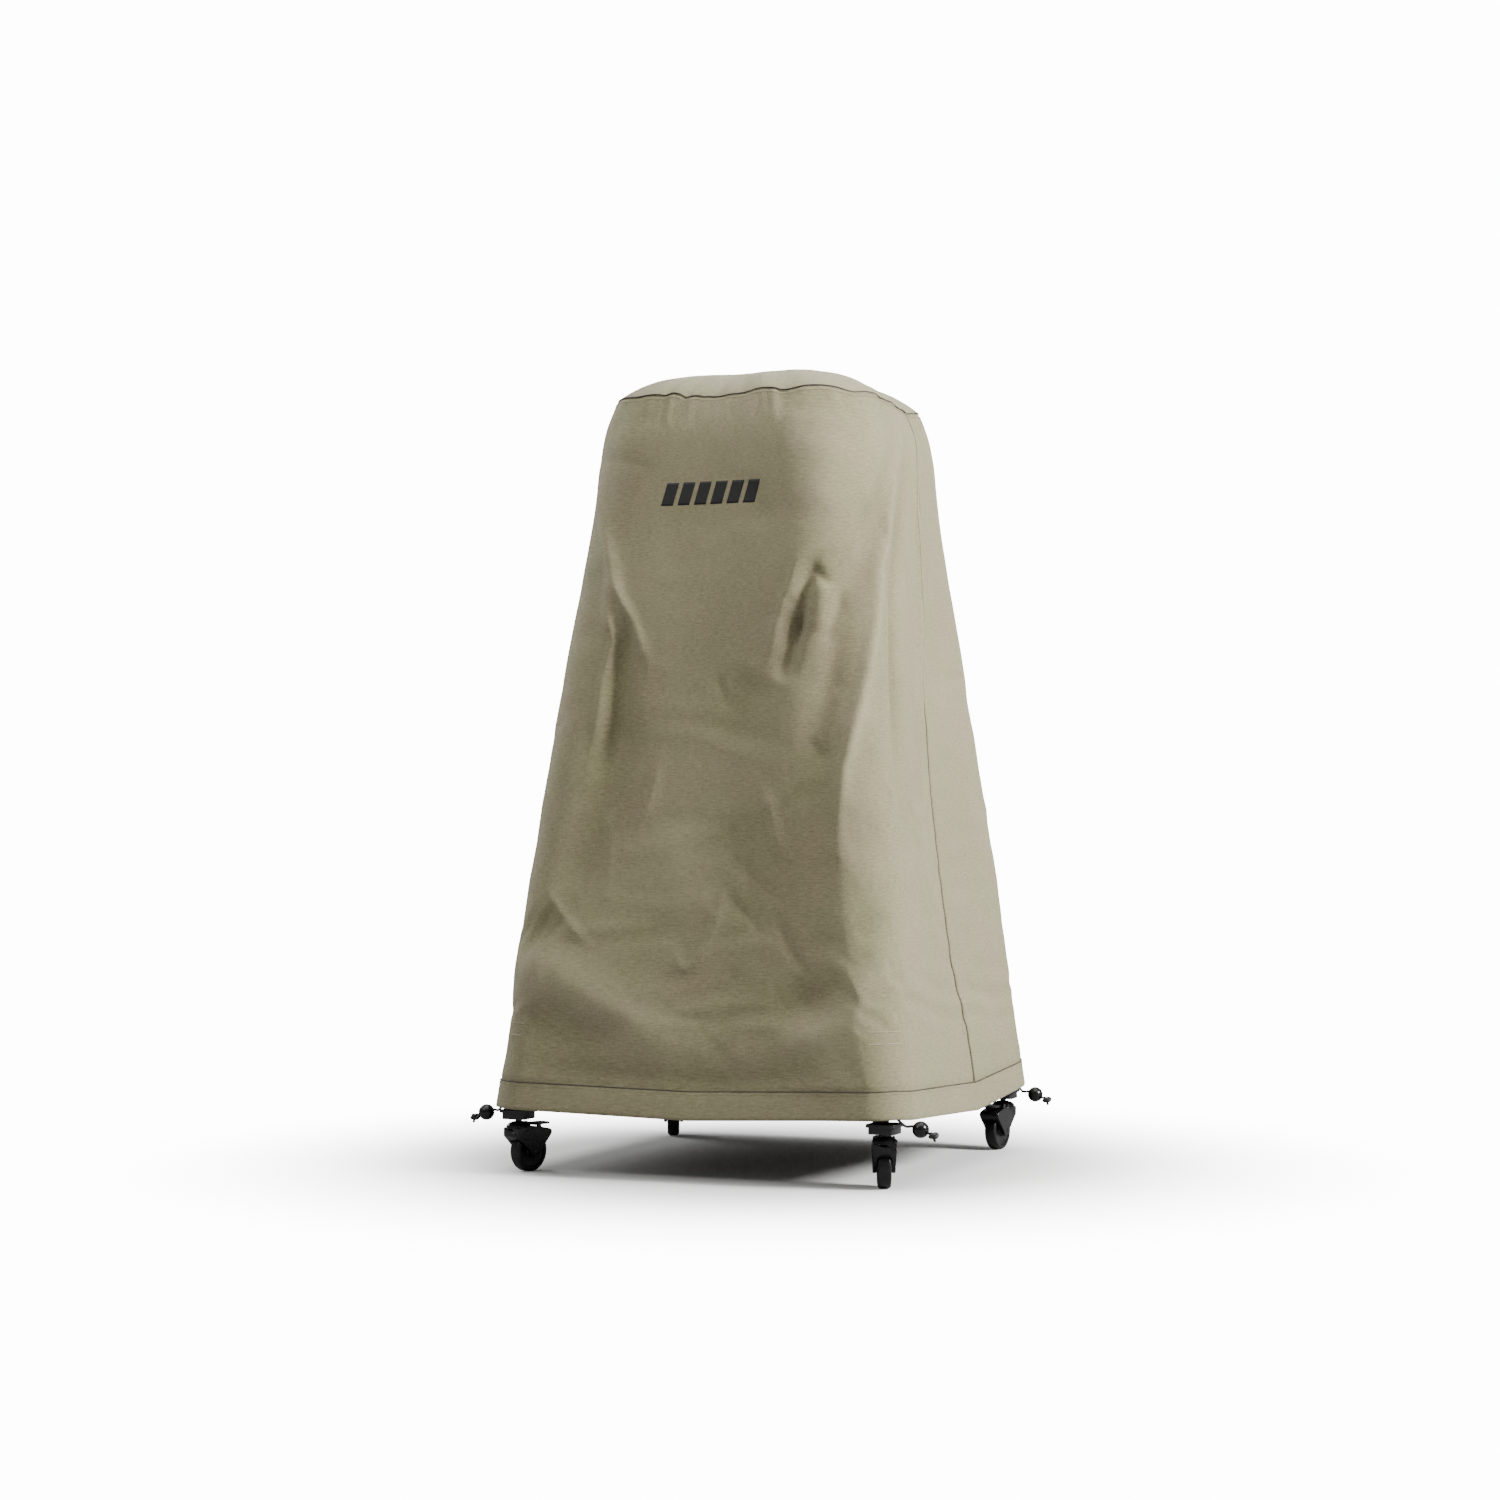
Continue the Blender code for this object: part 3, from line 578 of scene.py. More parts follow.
def tail_line(side_x):
    """Free end of the cord below its knot."""
    end = Vector((side_x * 0.30, 0, -0.95)) * TAIL_LENGTH
    bend = Vector((side_x * 0.0012, -0.0012, -TAIL_LENGTH * 0.55))
    return smooth_line([(0, 0, 0), bend, end], 6)


def make_knot(corner, place, side_x, material):
    pieces = [knot_mesh(material)]
    tail = curve_object("knot_tail", tail_line(side_x), TIE_RADIUS, material)
    pieces.append(evaluated_mesh(tail))
    points = []
    faces = []
    for mesh in pieces:
        start = len(points)
        points += [vertex.co + place for vertex in mesh.vertices]
        faces += [[start + index for index in polygon.vertices] for polygon in mesh.polygons]
    item = mesh_object("knot_" + corner, points, faces, material)
    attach(item, "cover")
    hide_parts("tie_knot_" + corner)
    return item


def make_ball(corner, place, outward, material):
    steepest = 90 - math.degrees(math.asin(BALL_BORE / BALL_RADIUS))
    profile = arc((0, 0), BALL_RADIUS, -steepest, steepest, 23)
    mouth = BALL_RADIUS * math.cos(math.asin(BALL_BORE / BALL_RADIUS))
    profile += [(BALL_BORE * 0.92, mouth - 0.001), (BALL_BORE * 0.92, 0.001 - mouth)]
    item = turned_object("ball_" + corner, profile, 40, place, outward, material)
    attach(item, "cover")
    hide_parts("tie_ball_" + corner)
    return item


def make_tie(corner, side_x, side_y, elastic, plastic):
    ball = at_corner(BALL_PLACE, side_x, side_y)
    outward = tie_direction(side_x)
    knot = ball + outward * KNOT_DISTANCE
    points = [at_corner(point, side_x, side_y) for point in TIE_ROUTE]
    points.append(ball)
    points.append(knot - outward * (KNOT_RADIUS - 0.0012))
    line = smooth_line(points, 4)
    item = curve_object("tie_" + corner, line, TIE_RADIUS, elastic)
    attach(item, "cover")
    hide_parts("tie_cord_" + corner)
    pieces = [make_ball(corner, ball, outward, plastic), make_knot(corner, knot, side_x, elastic)]


# Cloth: the wall's rule, then folds drawn on it

def wall_points(turn, height):
    """Places on the plain leaning wall, for arrays of turns and heights."""
    rise = (height - HEM_BOTTOM) / (SEAM_HEIGHT - HEM_BOTTOM)
    half = HEM_HALF + (TOP_HALF - HEM_HALF) * rise
    corner = HEM_CORNER + (TOP_CORNER - HEM_CORNER) * rise
    straight = half - corner
    quarter = np.floor(turn)
    part = turn - quarter
    reach = np.minimum(part, 1 - part) / STRAIGHT_TURN
    hollow = FACE_HOLLOW * np.sin(np.pi * np.clip(rise, 0, 1))
    flat = half - hollow * np.cos(np.pi / 2 * np.minimum(reach, 1)) ** 2
    angle = (part - STRAIGHT_TURN) / (1 - 2 * STRAIGHT_TURN) * np.pi / 2
    is_flat = reach < 1
    near = part < 0.5
    out = np.where(is_flat, np.where(near, flat, straight * reach), straight + corner * np.cos(angle))
    along = np.where(is_flat, np.where(near, straight * reach, flat), straight + corner * np.sin(angle))
    heading = -quarter * np.pi / 2
    x = np.cos(heading) * out + np.sin(heading) * along
    y = np.sin(heading) * out - np.cos(heading) * along
    return np.stack([x, y, height], axis=-1)


def metres_round(turn):
    """Distance round the wall at mid height, which the folds are measured in."""
    quarter = np.floor(turn)
    knots = (0, STRAIGHT_TURN, 1 - STRAIGHT_TURN, 1)
    metres = (0, MIDDLE_STRAIGHT, MIDDLE_STRAIGHT + MIDDLE_CORNER, QUARTER_METRES)
    return quarter * QUARTER_METRES + np.interp(turn - quarter, knots, metres)


def fold_lift(metres, height, points, depth, width, lean):
    """How far one fold lifts the cloth: a rounded crest along a smooth line, steeper on one side.

    Points are (turn, height). Depth is above the cloth, and a valley has a negative one."""
    line = np.array([(metres_round(turn), z) for turn, z in smooth_line(points, 4)])
    around = 4 * QUARTER_METRES
    middle = line[:, 0].mean()
    across = (metres - middle + around / 2) % around + middle - around / 2
    reach = FOLD_REACH * width
    low = line.min(axis=0) - reach
    high = line.max(axis=0) + reach
    inside = (across > low[0]) & (across < high[0]) & (height > low[1]) & (height < high[1])
    place = np.stack([across[inside], height[inside]], axis=-1)
    lengths = np.linalg.norm(np.diff(line, axis=0), axis=1)
    starts = np.concatenate([[0], np.cumsum(lengths)])
    best = np.full(len(place), 1e9)
    side = np.zeros(len(place))
    share = np.zeros(len(place))
    for start, end, length, done in zip(line, line[1:], lengths, starts):
        way = (end - start) / length
        offset = place - start
        along = np.clip(offset @ way, 0, length)
        gap = offset - along[:, None] * way
        distance = np.linalg.norm(gap, axis=1)
        closer = distance < best
        best[closer] = distance[closer]
        side[closer] = np.sign(way[0] * offset[:, 1] - way[1] * offset[:, 0])[closer]
        share[closer] = (done + along[closer]) / starts[-1]
    ratio = best / width
    ends = np.clip(np.minimum(share, 1 - share) / FOLD_TAPER, 0, 1)
    ends = FOLD_END + (1 - FOLD_END) * ends * ends * (3 - 2 * ends)
    crest = (1 + lean * side * np.tanh(ratio)) / np.cosh(np.minimum(ratio, 12))
    lift = np.zeros_like(metres)
    lift[inside] = depth * ends * crest
    return lift


# Folds of the front and the right face, as (depth, width, lean, points of (turn, height)).
LEFT_FOLD = (
    (0.0045, 0.0055, 0.0, ((1.53, 1.10), (1.477, 1.033), (1.434, 0.962), (1.40, 0.904))),
    (0.0055, 0.0052, 0.0, ((1.43, 0.955), (1.40, 0.904), (1.32, 0.860), (1.267, 0.819), (1.232, 0.788))),
    (0.0052, 0.0058, 0.0, (
        (1.43, 0.955), (1.412, 0.865), (1.385, 0.827), (1.390, 0.765), (1.38, 0.69), (1.39, 0.60),
    )),
    (-0.0100, 0.016, 0.3, ((1.375, 0.885), (1.340, 0.850), (1.325, 0.78), (1.31, 0.70), (1.32, 0.60))),
    (-0.0070, 0.034, 0.0, ((1.31, 0.74), (1.315, 0.64), (1.33, 0.55), (1.36, 0.46), (1.40, 0.39))),
    (-0.0040, 0.020, 0.0, ((1.50, 0.96), (1.46, 0.88), (1.44, 0.80))),
)
RIGHT_PINCH = (
    (-0.0085, 0.0060, -0.2, ((0.545, 0.955), (0.572, 0.938), (0.608, 0.885), (0.663, 0.830), (0.70, 0.79))),
    (-0.0105, 0.0105, -0.2, ((0.615, 0.875), (0.663, 0.828), (0.695, 0.790), (0.735, 0.755))),
    (0.0032, 0.0060, 0.0, ((0.760, 0.790), (0.715, 0.850), (0.645, 0.908), (0.590, 0.950), (0.542, 0.970))),
    (0.0062, 0.0100, 0.0, ((0.562, 0.922), (0.557, 0.894), (0.565, 0.860), (0.580, 0.825))),
    (-0.0042, 0.0045, 0.0, ((0.574, 0.938), (0.556, 0.916), (0.536, 0.914))),
    (-0.0048, 0.0065, 0.0, ((0.512, 0.910), (0.526, 0.876), (0.545, 0.856), (0.575, 0.815))),
    (-0.0040, 0.024, 0.0, ((0.80, 0.78), (0.86, 0.72), (0.90, 0.65))),
)
CORNER_FOLDS = (
    (-0.0125, 0.022, 0.0, (
        (0.28, 1.12), (0.405, 1.03), (0.470, 0.943), (0.520, 0.875), (0.560, 0.78), (0.60, 0.69),
        (0.625, 0.60),
    )),
    (0.0088, 0.0085, -0.45, (
        (0.10, 1.14), (0.212, 1.098), (0.343, 1.027), (0.424, 0.947), (0.454, 0.867),
        (0.495, 0.758), (0.540, 0.664), (0.567, 0.596), (0.59, 0.50),
    )),
    (-0.0095, 0.0125, 0.0, (
        (-0.10, 1.165), (0.041, 1.088), (0.184, 0.988), (0.302, 0.904), (0.35, 0.80), (0.364, 0.70),
        (0.379, 0.55),
    )),
    (0.0058, 0.0070, 0.0, (
        (-0.194, 1.145), (-0.139, 1.064), (-0.094, 0.995), (-0.060, 0.916), (-0.023, 0.845), (0.02, 0.74),
    )),
    (-0.0022, 0.0075, 0.0, ((0.640, 0.675), (0.612, 0.650), (0.579, 0.645))),
    (0.0035, 0.022, 0.3, ((0.51, 1.15), (0.53, 1.08), (0.545, 1.00))),
)
LOWER_FOLDS = (
    (-0.0080, 0.024, 0.0, ((1.45, 0.405), (1.41, 0.386), (1.37, 0.372))),
    (-0.0075, 0.020, 0.0, ((1.40, 0.285), (1.325, 0.243), (1.224, 0.224), (1.12, 0.205))),
    (0.0075, 0.026, 0.0, ((1.53, 0.335), (1.40, 0.322), (1.234, 0.272), (1.097, 0.225), (0.925, 0.195))),
    (-0.0070, 0.020, 0.0, ((0.59, 0.312), (0.673, 0.284), (0.76, 0.268))),
    (0.0065, 0.020, 0.0, ((0.53, 0.35), (0.600, 0.262), (0.72, 0.218), (0.82, 0.200))),
    (-0.0035, 0.012, 0.0, ((1.42, 0.182), (1.31, 0.170), (1.11, 0.160), (0.88, 0.157), (0.64, 0.172))),
    (0.0030, 0.030, 0.0, ((1.08, 0.56), (1.04, 0.46), (1.00, 0.38))),
    (-0.0030, 0.035, 0.0, ((0.86, 0.58), (0.83, 0.48), (0.86, 0.36))),
)
FINE_CREASES = (
    (0.0016, 0.0040, 0.4, ((1.431, 0.437), (1.37, 0.40), (1.292, 0.360))),
    (0.0016, 0.0040, 0.4, ((1.058, 0.356), (1.022, 0.324), (0.97, 0.36), (0.935, 0.42), (0.916, 0.455))),
    (-0.0014, 0.0035, 0.4, ((0.774, 0.407), (0.75, 0.37), (0.716, 0.333), (0.689, 0.313))),
    (0.0014, 0.0045, 0.4, ((1.143, 0.648), (1.162, 0.579), (1.19, 0.53))),
    (-0.0013, 0.0040, 0.4, ((0.955, 0.775), (0.940, 0.747), (0.909, 0.718))),
    (0.0014, 0.0050, 0.4, ((0.80, 0.60), (0.77, 0.55), (0.76, 0.49))),
    (-0.0014, 0.0050, 0.4, ((1.347, 0.75), (1.31, 0.70), (1.25, 0.66))),
)

# Where the top seam dips, as (turn, depth), where it is gathered, and the heights of creases at a corner.
TOP_DIPS = (
    (1.44, 0.003), (1.36, 0.003), (1.22, 0.004), (1.10, 0.002), (0.60, 0.007), (0.50, 0.006), (0.36, 0.003),
    (2.3, 0.004), (2.6, 0.005), (3.1, 0.003), (3.6, 0.004),
)
TOP_GATHERS = (1.468, 1.436, 1.405, 1.345, 1.285, 0.60, 0.575, 0.545, 0.515, 0.49)
CORNER_PUCKERS = (0.758, 0.696, 0.637, 0.576, 0.517, 0.457, 0.384, 0.309)


def moved_folds(folds, turn_shift, height_shift, strength, mirror=False):
    """The same kind of folds at another place, for the faces that look alike."""
    moved = []
    for depth, width, lean, points in folds:
        places = []
        for turn, height in points:
            place = turn_shift - turn if mirror else turn_shift + turn
            places.append((place, height + height_shift))
        moved.append((depth * strength, width, lean, tuple(places)))
    return tuple(moved)


def corner_puckers(turn_shift, strength):
    """Short creases across a corner, where the cloth turns."""
    folds = []
    for number, height in enumerate(CORNER_PUCKERS):
        sign = 1 if number % 2 else -1
        start = (turn_shift + 0.470, height + 0.020)
        middle = (turn_shift + 0.515, height)
        end = (turn_shift + 0.57, height - 0.012)
        folds.append((sign * 0.0042 * strength, 0.011, 0.0, (start, middle, end)))
    return tuple(folds)


def random_creases(count, depth, width, length, seed):
    """Fine creases at random places, from being folded and handled."""
    draw = random.Random(seed)
    folds = []
    for _ in range(count):
        turn = draw.uniform(0, 4)
        height = draw.uniform(0.19, 1.12)
        heading = draw.gauss(-1.2, 0.7) if draw.random() < 0.5 else draw.gauss(1.2, 0.7)
        reach = draw.uniform(*length)
        points = []
        for step in range(4):
            points.append((turn, height))
            turn += math.cos(heading) * reach / 3 / QUARTER_METRES
            height = min(1.17, max(0.16, height + math.sin(heading) * reach / 3))
            heading += draw.gauss(0, 0.35)
        size = draw.uniform(*depth) * draw.choice((-1, 1))
        folds.append((size, draw.uniform(*width), draw.uniform(-0.4, 0.4), tuple(points)))
    return tuple(folds)


def seam_gathers(seed):
    """Small pleats hanging from the top seam, all the way round."""
    draw = random.Random(seed)
    folds = []
    places = [(turn, 0.0026) for turn in TOP_GATHERS]
    turn = 0.03
    while turn < 4:
        if not (0.47 < turn < 0.62 or 1.27 < turn < 1.48):
            places.append((turn, draw.uniform(0.0003, 0.0013)))
        turn += draw.uniform(0.035, 0.10)
    for turn, depth in places:
        drop = 0.020 + 10 * depth * draw.uniform(0.6, 1.3)
        middle = (turn + draw.uniform(-0.012, 0.012), SEAM_HEIGHT - drop / 2)
        end = (turn + draw.uniform(-0.03, 0.03), SEAM_HEIGHT - drop)
        folds.append((-depth, draw.uniform(0.006, 0.010), 0.0, ((turn, SEAM_HEIGHT + 0.007), middle, end)))
    return tuple(folds)


def hem_gathers(seed):
    """Short puckers above the hem seam."""
    draw = random.Random(seed)
    folds = []
    turn = 0.02
    while turn < 4:
        start = (turn, 0.128)
        middle = (turn + draw.uniform(-0.01, 0.01), 0.150)
        end = (turn + draw.uniform(-0.03, 0.03), draw.uniform(0.165, 0.21))
        folds.append((draw.uniform(-0.0012, 0.0010), draw.uniform(0.006, 0.012), 0.0, (start, middle, end)))
        turn += draw.uniform(0.03, 0.08)
    return tuple(folds)


def all_folds():
    """Every fold of the cover: those that the photo shows first, then the ones taken as like them."""
    folds = moved_folds(LEFT_FOLD, 0, 0, 1.5)
    folds += moved_folds(RIGHT_PINCH, 0, 0, 1.35)
    folds += moved_folds(CORNER_FOLDS, 0, 0, 1.5)
    folds += moved_folds(LOWER_FOLDS, 0, 0, 1.0)
    folds += moved_folds(FINE_CREASES, 0, 0, 2.5)
    for quarter in (1.0, 2.0, 3.0):
        ridge = ((quarter + 0.48, 1.08), (quarter + 0.50, 0.60), (quarter + 0.50, 0.17))
        folds += ((0.0090, 0.032, 0.0, ridge),)
    for quarter, strength in ((0.0, 0.35), (1.0, 0.15), (2.0, 0.5), (3.0, 0.15)):
        folds += corner_puckers(quarter, strength)
    folds += moved_folds(LEFT_FOLD, 2.03, 0.03, 0.8)
    folds += moved_folds(RIGHT_PINCH, 4.04, -0.05, 0.7, mirror=True)
    folds += moved_folds(LOWER_FOLDS, 3.97, 0.02, 0.8, mirror=True)
    folds += moved_folds(CORNER_FOLDS, 2.02, -0.04, 0.75)
    folds += moved_folds(LOWER_FOLDS, 1.02, 0.03, 0.6)
    folds += moved_folds(LOWER_FOLDS, 4.05, -0.01, 0.6)
    folds += random_creases(80, (0.0008, 0.0020), (0.0035, 0.007), (0.04, 0.13), 11)
    folds += random_creases(34, (0.0010, 0.0026), (0.016, 0.036), (0.10, 0.30), 5)
    folds += seam_gathers(3)
    folds += hem_gathers(8)
    return folds


# Where the hem and the side seams wander, as (turn, metres) and (height, turn).
HEM_DROP_TURNS = (0, 0.5, 0.7, 1.0, 1.5, 2.0, 2.5, 3.0, 3.5, 4.0)
HEM_DROPS = (-0.0110, 0.0070, 0.0030, -0.0050, 0.0030, -0.0080, 0.0060, -0.0050, 0.0110, -0.0110)
SIDE_SEAM_HEIGHTS = (0.10, 0.14, 0.22, 0.32, 0.455, 0.60, 0.73, 0.90, 1.05, 1.16, 1.20)
SIDE_SEAM_TURNS = (-0.050, -0.052, -0.046, 0.010, 0.020, 0.020, 0.0, -0.055, -0.12, -0.20, -0.18)


def side_seam_shift(turn, height):
    """How far the cloth's own columns run from their even places, in turns, near the side seams."""
    shift = np.interp(height, SIDE_SEAM_HEIGHTS, SIDE_SEAM_TURNS)
    from_right = np.abs((turn + 2) % 4 - 2)
    from_left = np.abs(turn - 2)
    right = np.cos(np.clip(from_right / SIDE_SEAM_REACH, 0, 1) * np.pi / 2) ** 2
    left = np.cos(np.clip(from_left / SIDE_SEAM_REACH, 0, 1) * np.pi / 2) ** 2
    return shift * right - LEFT_SEAM_SHARE * shift * left


def top_seam_wave(turns):
    """How the top seam rises and dips on its way round: a slow wave, and a dip at each gather."""
    wave = 0.0012 * np.sin(turns * math.pi * 3.5) + 0.0009 * np.sin(turns * math.pi * 11 + 1)
    for turn, depth in TOP_DIPS:
        gap = (metres_round(turns) - metres_round(turn)) / 0.010
        wave -= depth / np.cosh(np.clip(gap, -12, 12))
    return wave


def grid_turns():
    straight = [STRAIGHT_TURN * step / STRAIGHT_STEPS for step in range(STRAIGHT_STEPS)]
    corner_turn = 1 - 2 * STRAIGHT_TURN
    corner = [STRAIGHT_TURN + corner_turn * step / CORNER_STEPS for step in range(CORNER_STEPS)]
    other = [1 - STRAIGHT_TURN + STRAIGHT_TURN * step / STRAIGHT_STEPS for step in range(STRAIGHT_STEPS)]
    return np.array([quarter + part for quarter in range(4) for part in straight + corner + other] + [4.0])


def grid_heights():
    hem = np.linspace(HEM_BOTTOM, HEM_TOP, HEM_ROWS + 1)
    wall = np.linspace(HEM_TOP, SEAM_HEIGHT, WALL_ROWS + 1)
    return np.concatenate([hem, wall[1:]])


def outward_normals(place):
    """Unit normals of a grid of places that closes on itself along its first axis."""
    ring = np.concatenate([place[-2:-1], place, place[1:2]], axis=0)
    round_way = ring[2:] - ring[:-2]
    up_way = np.gradient(place, axis=1)
    normal = np.cross(up_way, round_way)
    return normal / np.linalg.norm(normal, axis=-1, keepdims=True)


class Cloth:
    """Final places of the cover's wall on a grid of columns (turns) and rows (heights)."""

    def __init__(self):
        self.turns = grid_turns()
        self.heights = grid_heights()
        column, row = np.meshgrid(self.turns, self.heights, indexing="ij")
        actual = column + side_seam_shift(column, row)
        self.metres = metres_round(actual)
        drop = np.interp(column % 4, HEM_DROP_TURNS, HEM_DROPS)
        lowness = np.exp(-((row - HEM_BOTTOM) / HEM_DROP_REACH) ** 2)
        highness = np.exp(-((SEAM_HEIGHT - row) / SEAM_WAVE_REACH) ** 2)
        near_seam = np.clip(1 - (SEAM_HEIGHT - row) / SEAM_REACH, 0, 1) ** 2
        cornerness = np.sin(np.pi * column) ** 2
        raised = (SEAM_LIFT + SEAM_CORNER_LIFT * cornerness) * near_seam
        height = row + drop * lowness + raised + top_seam_wave(self.turns)[:, None] * highness
        plain = wall_points(actual, row)
        plain[..., 2] = height
        plain_normal = outward_normals(plain)
        lift = np.zeros_like(row)
        for depth, width, lean, points in all_folds():
            lift += fold_lift(self.metres, row, points, depth, width, lean)
        lift *= np.clip((row - HEM_BOTTOM) / FOLD_FADE, 0.25, 1)
        below = np.clip((SEAM_HEIGHT - row) / SHOULDER_DROP, 0, 1)
        lift += SHOULDER_LIFT * np.sin(np.pi * below ** 0.55) ** 2 - SEAM_TUCK * near_seam ** 1.5
        # How raised the cloth is, -1 to 1; from it the canvas paints a highlight on raised places and shade
        # in hollows.
        self.relief = np.clip(lift / FOLD_SHADE_DEPTH, -1, 1)
        place = plain + plain_normal * lift[..., None]
        place = settle(place)
        self.place = place
        self.normal = outward_normals(place)
        self.row_height = row

    def at(self, turn, height, lift=0.0):
        """Place and unit normal at a column turn and row height."""
        column = np.interp(turn % 4, self.turns, np.arange(len(self.turns)))
        row = np.interp(height, self.heights, np.arange(len(self.heights)))
        low_column = int(min(column, len(self.turns) - 2))
        low_row = int(min(row, len(self.heights) - 2))
        across = column - low_column
        up = row - low_row

        def blend(grid):
            low = grid[low_column, low_row] * (1 - across) + grid[low_column + 1, low_row] * across
            high = grid[low_column, low_row + 1] * (1 - across) + grid[low_column + 1, low_row + 1] * across
            return low * (1 - up) + high * up

        normal = blend(self.normal)
        normal = normal / np.linalg.norm(normal)
        return blend(self.place) + normal * lift, normal


def settling_cloth(points, columns, rows):
    """Cloth piece for the simulation, held fast at the hem and the seam and loosely between them."""
    faces = grid_faces(columns, rows, round_columns=True, flipped=True)
    mesh = bpy.data.meshes.new("settling")
    mesh.from_pydata([tuple(point) for point in points], [], faces)
    item = link_object(bpy.data.objects.new("settling", mesh))
    hold = item.vertex_groups.new(name="hold")
    for row in range(rows):
        members = [column * rows + row for column in range(columns)]
        near_hem = 1 - max(0, row - HELD_HEM_ROWS) / FADE_ABOVE_HEM
        near_seam = 1 - (rows - 1 - row) / FADE_UNDER_SEAM
        hold.add(members, max(CLOTH_HOLD, near_hem, near_seam), "REPLACE")
    cloth = item.modifiers.new("cloth", "CLOTH")
    settings = cloth.settings
    settings.quality = 6
    settings.mass = 0.25
    settings.tension_stiffness = 30
    settings.compression_stiffness = 30
    settings.shear_stiffness = 8
    settings.bending_stiffness = CLOTH_BENDING
    settings.vertex_group_mass = "hold"
    settings.pin_stiffness = 1.0
    settings.shrink_min = -CLOTH_SPARE
    settings.shrink_max = -CLOTH_SPARE
    settings.effector_weights.gravity = CLOTH_WEIGHT
    cloth.collision_settings.use_self_collision = False
    cloth.collision_settings.use_collision = False
    cloth.point_cache.frame_start = 1
    cloth.point_cache.frame_end = CLOTH_FRAMES
    return item


def settle(place):
    """The folded cloth as it comes to rest: its weight and a little spare length, which buckles.

    The simulation runs on every second column and row, and its movement is spread over the rest."""
    coarse = place[:-1:2, ::2]
    columns, rows = coarse.shape[:2]
    points = coarse.reshape(-1, 3)
    item = settling_cloth(points, columns, rows)
    scene = bpy.context.scene
    for number in range(1, CLOTH_FRAMES + 1):
        scene.frame_set(number)
    settled = evaluated_mesh(item)
    scene.frame_set(1)
    moved = np.zeros(len(settled.vertices) * 3)
    settled.vertices.foreach_get("co", moved)
    move = (moved.reshape(-1, 3) - points).reshape(columns, rows, 3)
    size = np.linalg.norm(move, axis=-1, keepdims=True)
    move *= np.minimum(1, CLOTH_CAP / np.maximum(size, 1e-9))
    return place + between_rows(between_columns(move))


def between_columns(move):
    """Twice as many columns, from a smooth curve through each ring of values."""
    halfway = (9 * (move + np.roll(move, -1, 0)) - np.roll(move, 1, 0) - np.roll(move, -2, 0)) / 16
    ring = np.stack([move, halfway], axis=1).reshape(-1, *move.shape[1:])
    return np.concatenate([ring, ring[:1]], axis=0)


def between_rows(move):
    """One more row between each two, the same way."""
    padded = np.concatenate([move[:, :1], move, move[:, -1:]], axis=1)
    halfway = (9 * (padded[:, 1:-2] + padded[:, 2:-1]) - padded[:, :-3] - padded[:, 3:]) / 16
    fine = np.zeros((move.shape[0], 2 * move.shape[1] - 1, 3))
    fine[:, ::2] = move
    fine[:, 1::2] = halfway
    return fine


def set_attribute(mesh, name, kind, values):
    attribute = mesh.attributes.new(name, kind, "POINT")
    key = "vector" if kind == "FLOAT_VECTOR" else "value"
    attribute.data.foreach_set(key, np.asarray(values, np.float32).ravel())


def mark_cloth(item, metres, relief):
    """Keeps the cloth's own metres and how raised it is at each point, which the canvas reads to paint
    highlight on raised places and shade in hollow ones.
    """
    set_attribute(item.data, "cloth_place", "FLOAT_VECTOR", metres)
    set_attribute(item.data, "relief", "FLOAT", relief)


def thicken(item, thickness):
    """Gives a surface its thickness, inward from where it lies."""
    solid = item.modifiers.new("thickness", "SOLIDIFY")
    solid.thickness = thickness
    solid.offset = -1


def grid_object(name, place, metres, heights, relief, material, thickness):
    """Cloth panel from a grid of places, facing outward, with its thickness inward."""
    faces = grid_faces(*place.shape[:2], flipped=True)
    item = mesh_object(name, place.reshape(-1, 3), faces, material)
    flat = np.stack([metres.ravel(), heights.ravel(), np.zeros(metres.size)], axis=-1)
    mark_cloth(item, flat, relief)
    thicken(item, thickness)
    return item


def column_near(cloth, turn):
    return int(np.argmin(np.abs(cloth.turns - turn)))


def make_panels(cloth, canvas):
    """Front and back wraps, each from side seam to side seam."""
    first_row = HEM_ROWS - 1
    middle = column_near(cloth, 2)
    panels = []
    for name, columns in (("front", slice(0, middle + 1)), ("back", slice(middle, None))):
        place = cloth.place[columns, first_row:].copy()
        normal = cloth.normal[columns, first_row:]
        place += normal * seam_tuck(cloth, columns, first_row)[..., None]
        item = grid_object(
            "canvas_" + name, place, cloth.metres[columns, first_row:],
            cloth.row_height[columns, first_row:], cloth.relief[columns, first_row:], canvas, CANVAS_THICK,
        )
        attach(item, "cover")
        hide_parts("cover_" + name)
        panels.append(item)
    return panels


def seam_tuck(cloth, columns, first_row):
    """How far the cloth dips into its seams: top seam, hem seam and the panel's side edges."""
    row = cloth.row_height[columns, first_row:]
    column = cloth.turns[columns]
    edge = np.minimum(column - column[0], column[-1] - column) * QUARTER_METRES
    tuck = -0.0022 * np.exp(-((SEAM_HEIGHT - row) / 0.0035) ** 2)
    tuck -= 0.0018 * np.exp(-((row - HEM_TOP) / 0.0040) ** 2)
    tuck -= np.interp(row, (0.72, 0.80), (0.0030, 0.0008)) * np.exp(-(edge / 0.0040) ** 2)[:, None]
    return tuck


def top_gathers(metres, draw):
    """How deep the top is gathered at each place of its rim: at the seam's own gathers and random ones."""
    gathers = np.zeros(len(metres))
    half_round = 2 * QUARTER_METRES
    for turn in list(TOP_GATHERS) + [draw.uniform(0, 4) for _ in range(34)]:
        gap = (metres - metres_round(turn) + half_round) % (2 * half_round) - half_round
        gathers -= draw.uniform(0.0010, 0.0026) / np.cosh(gap / 0.006)
    return gathers


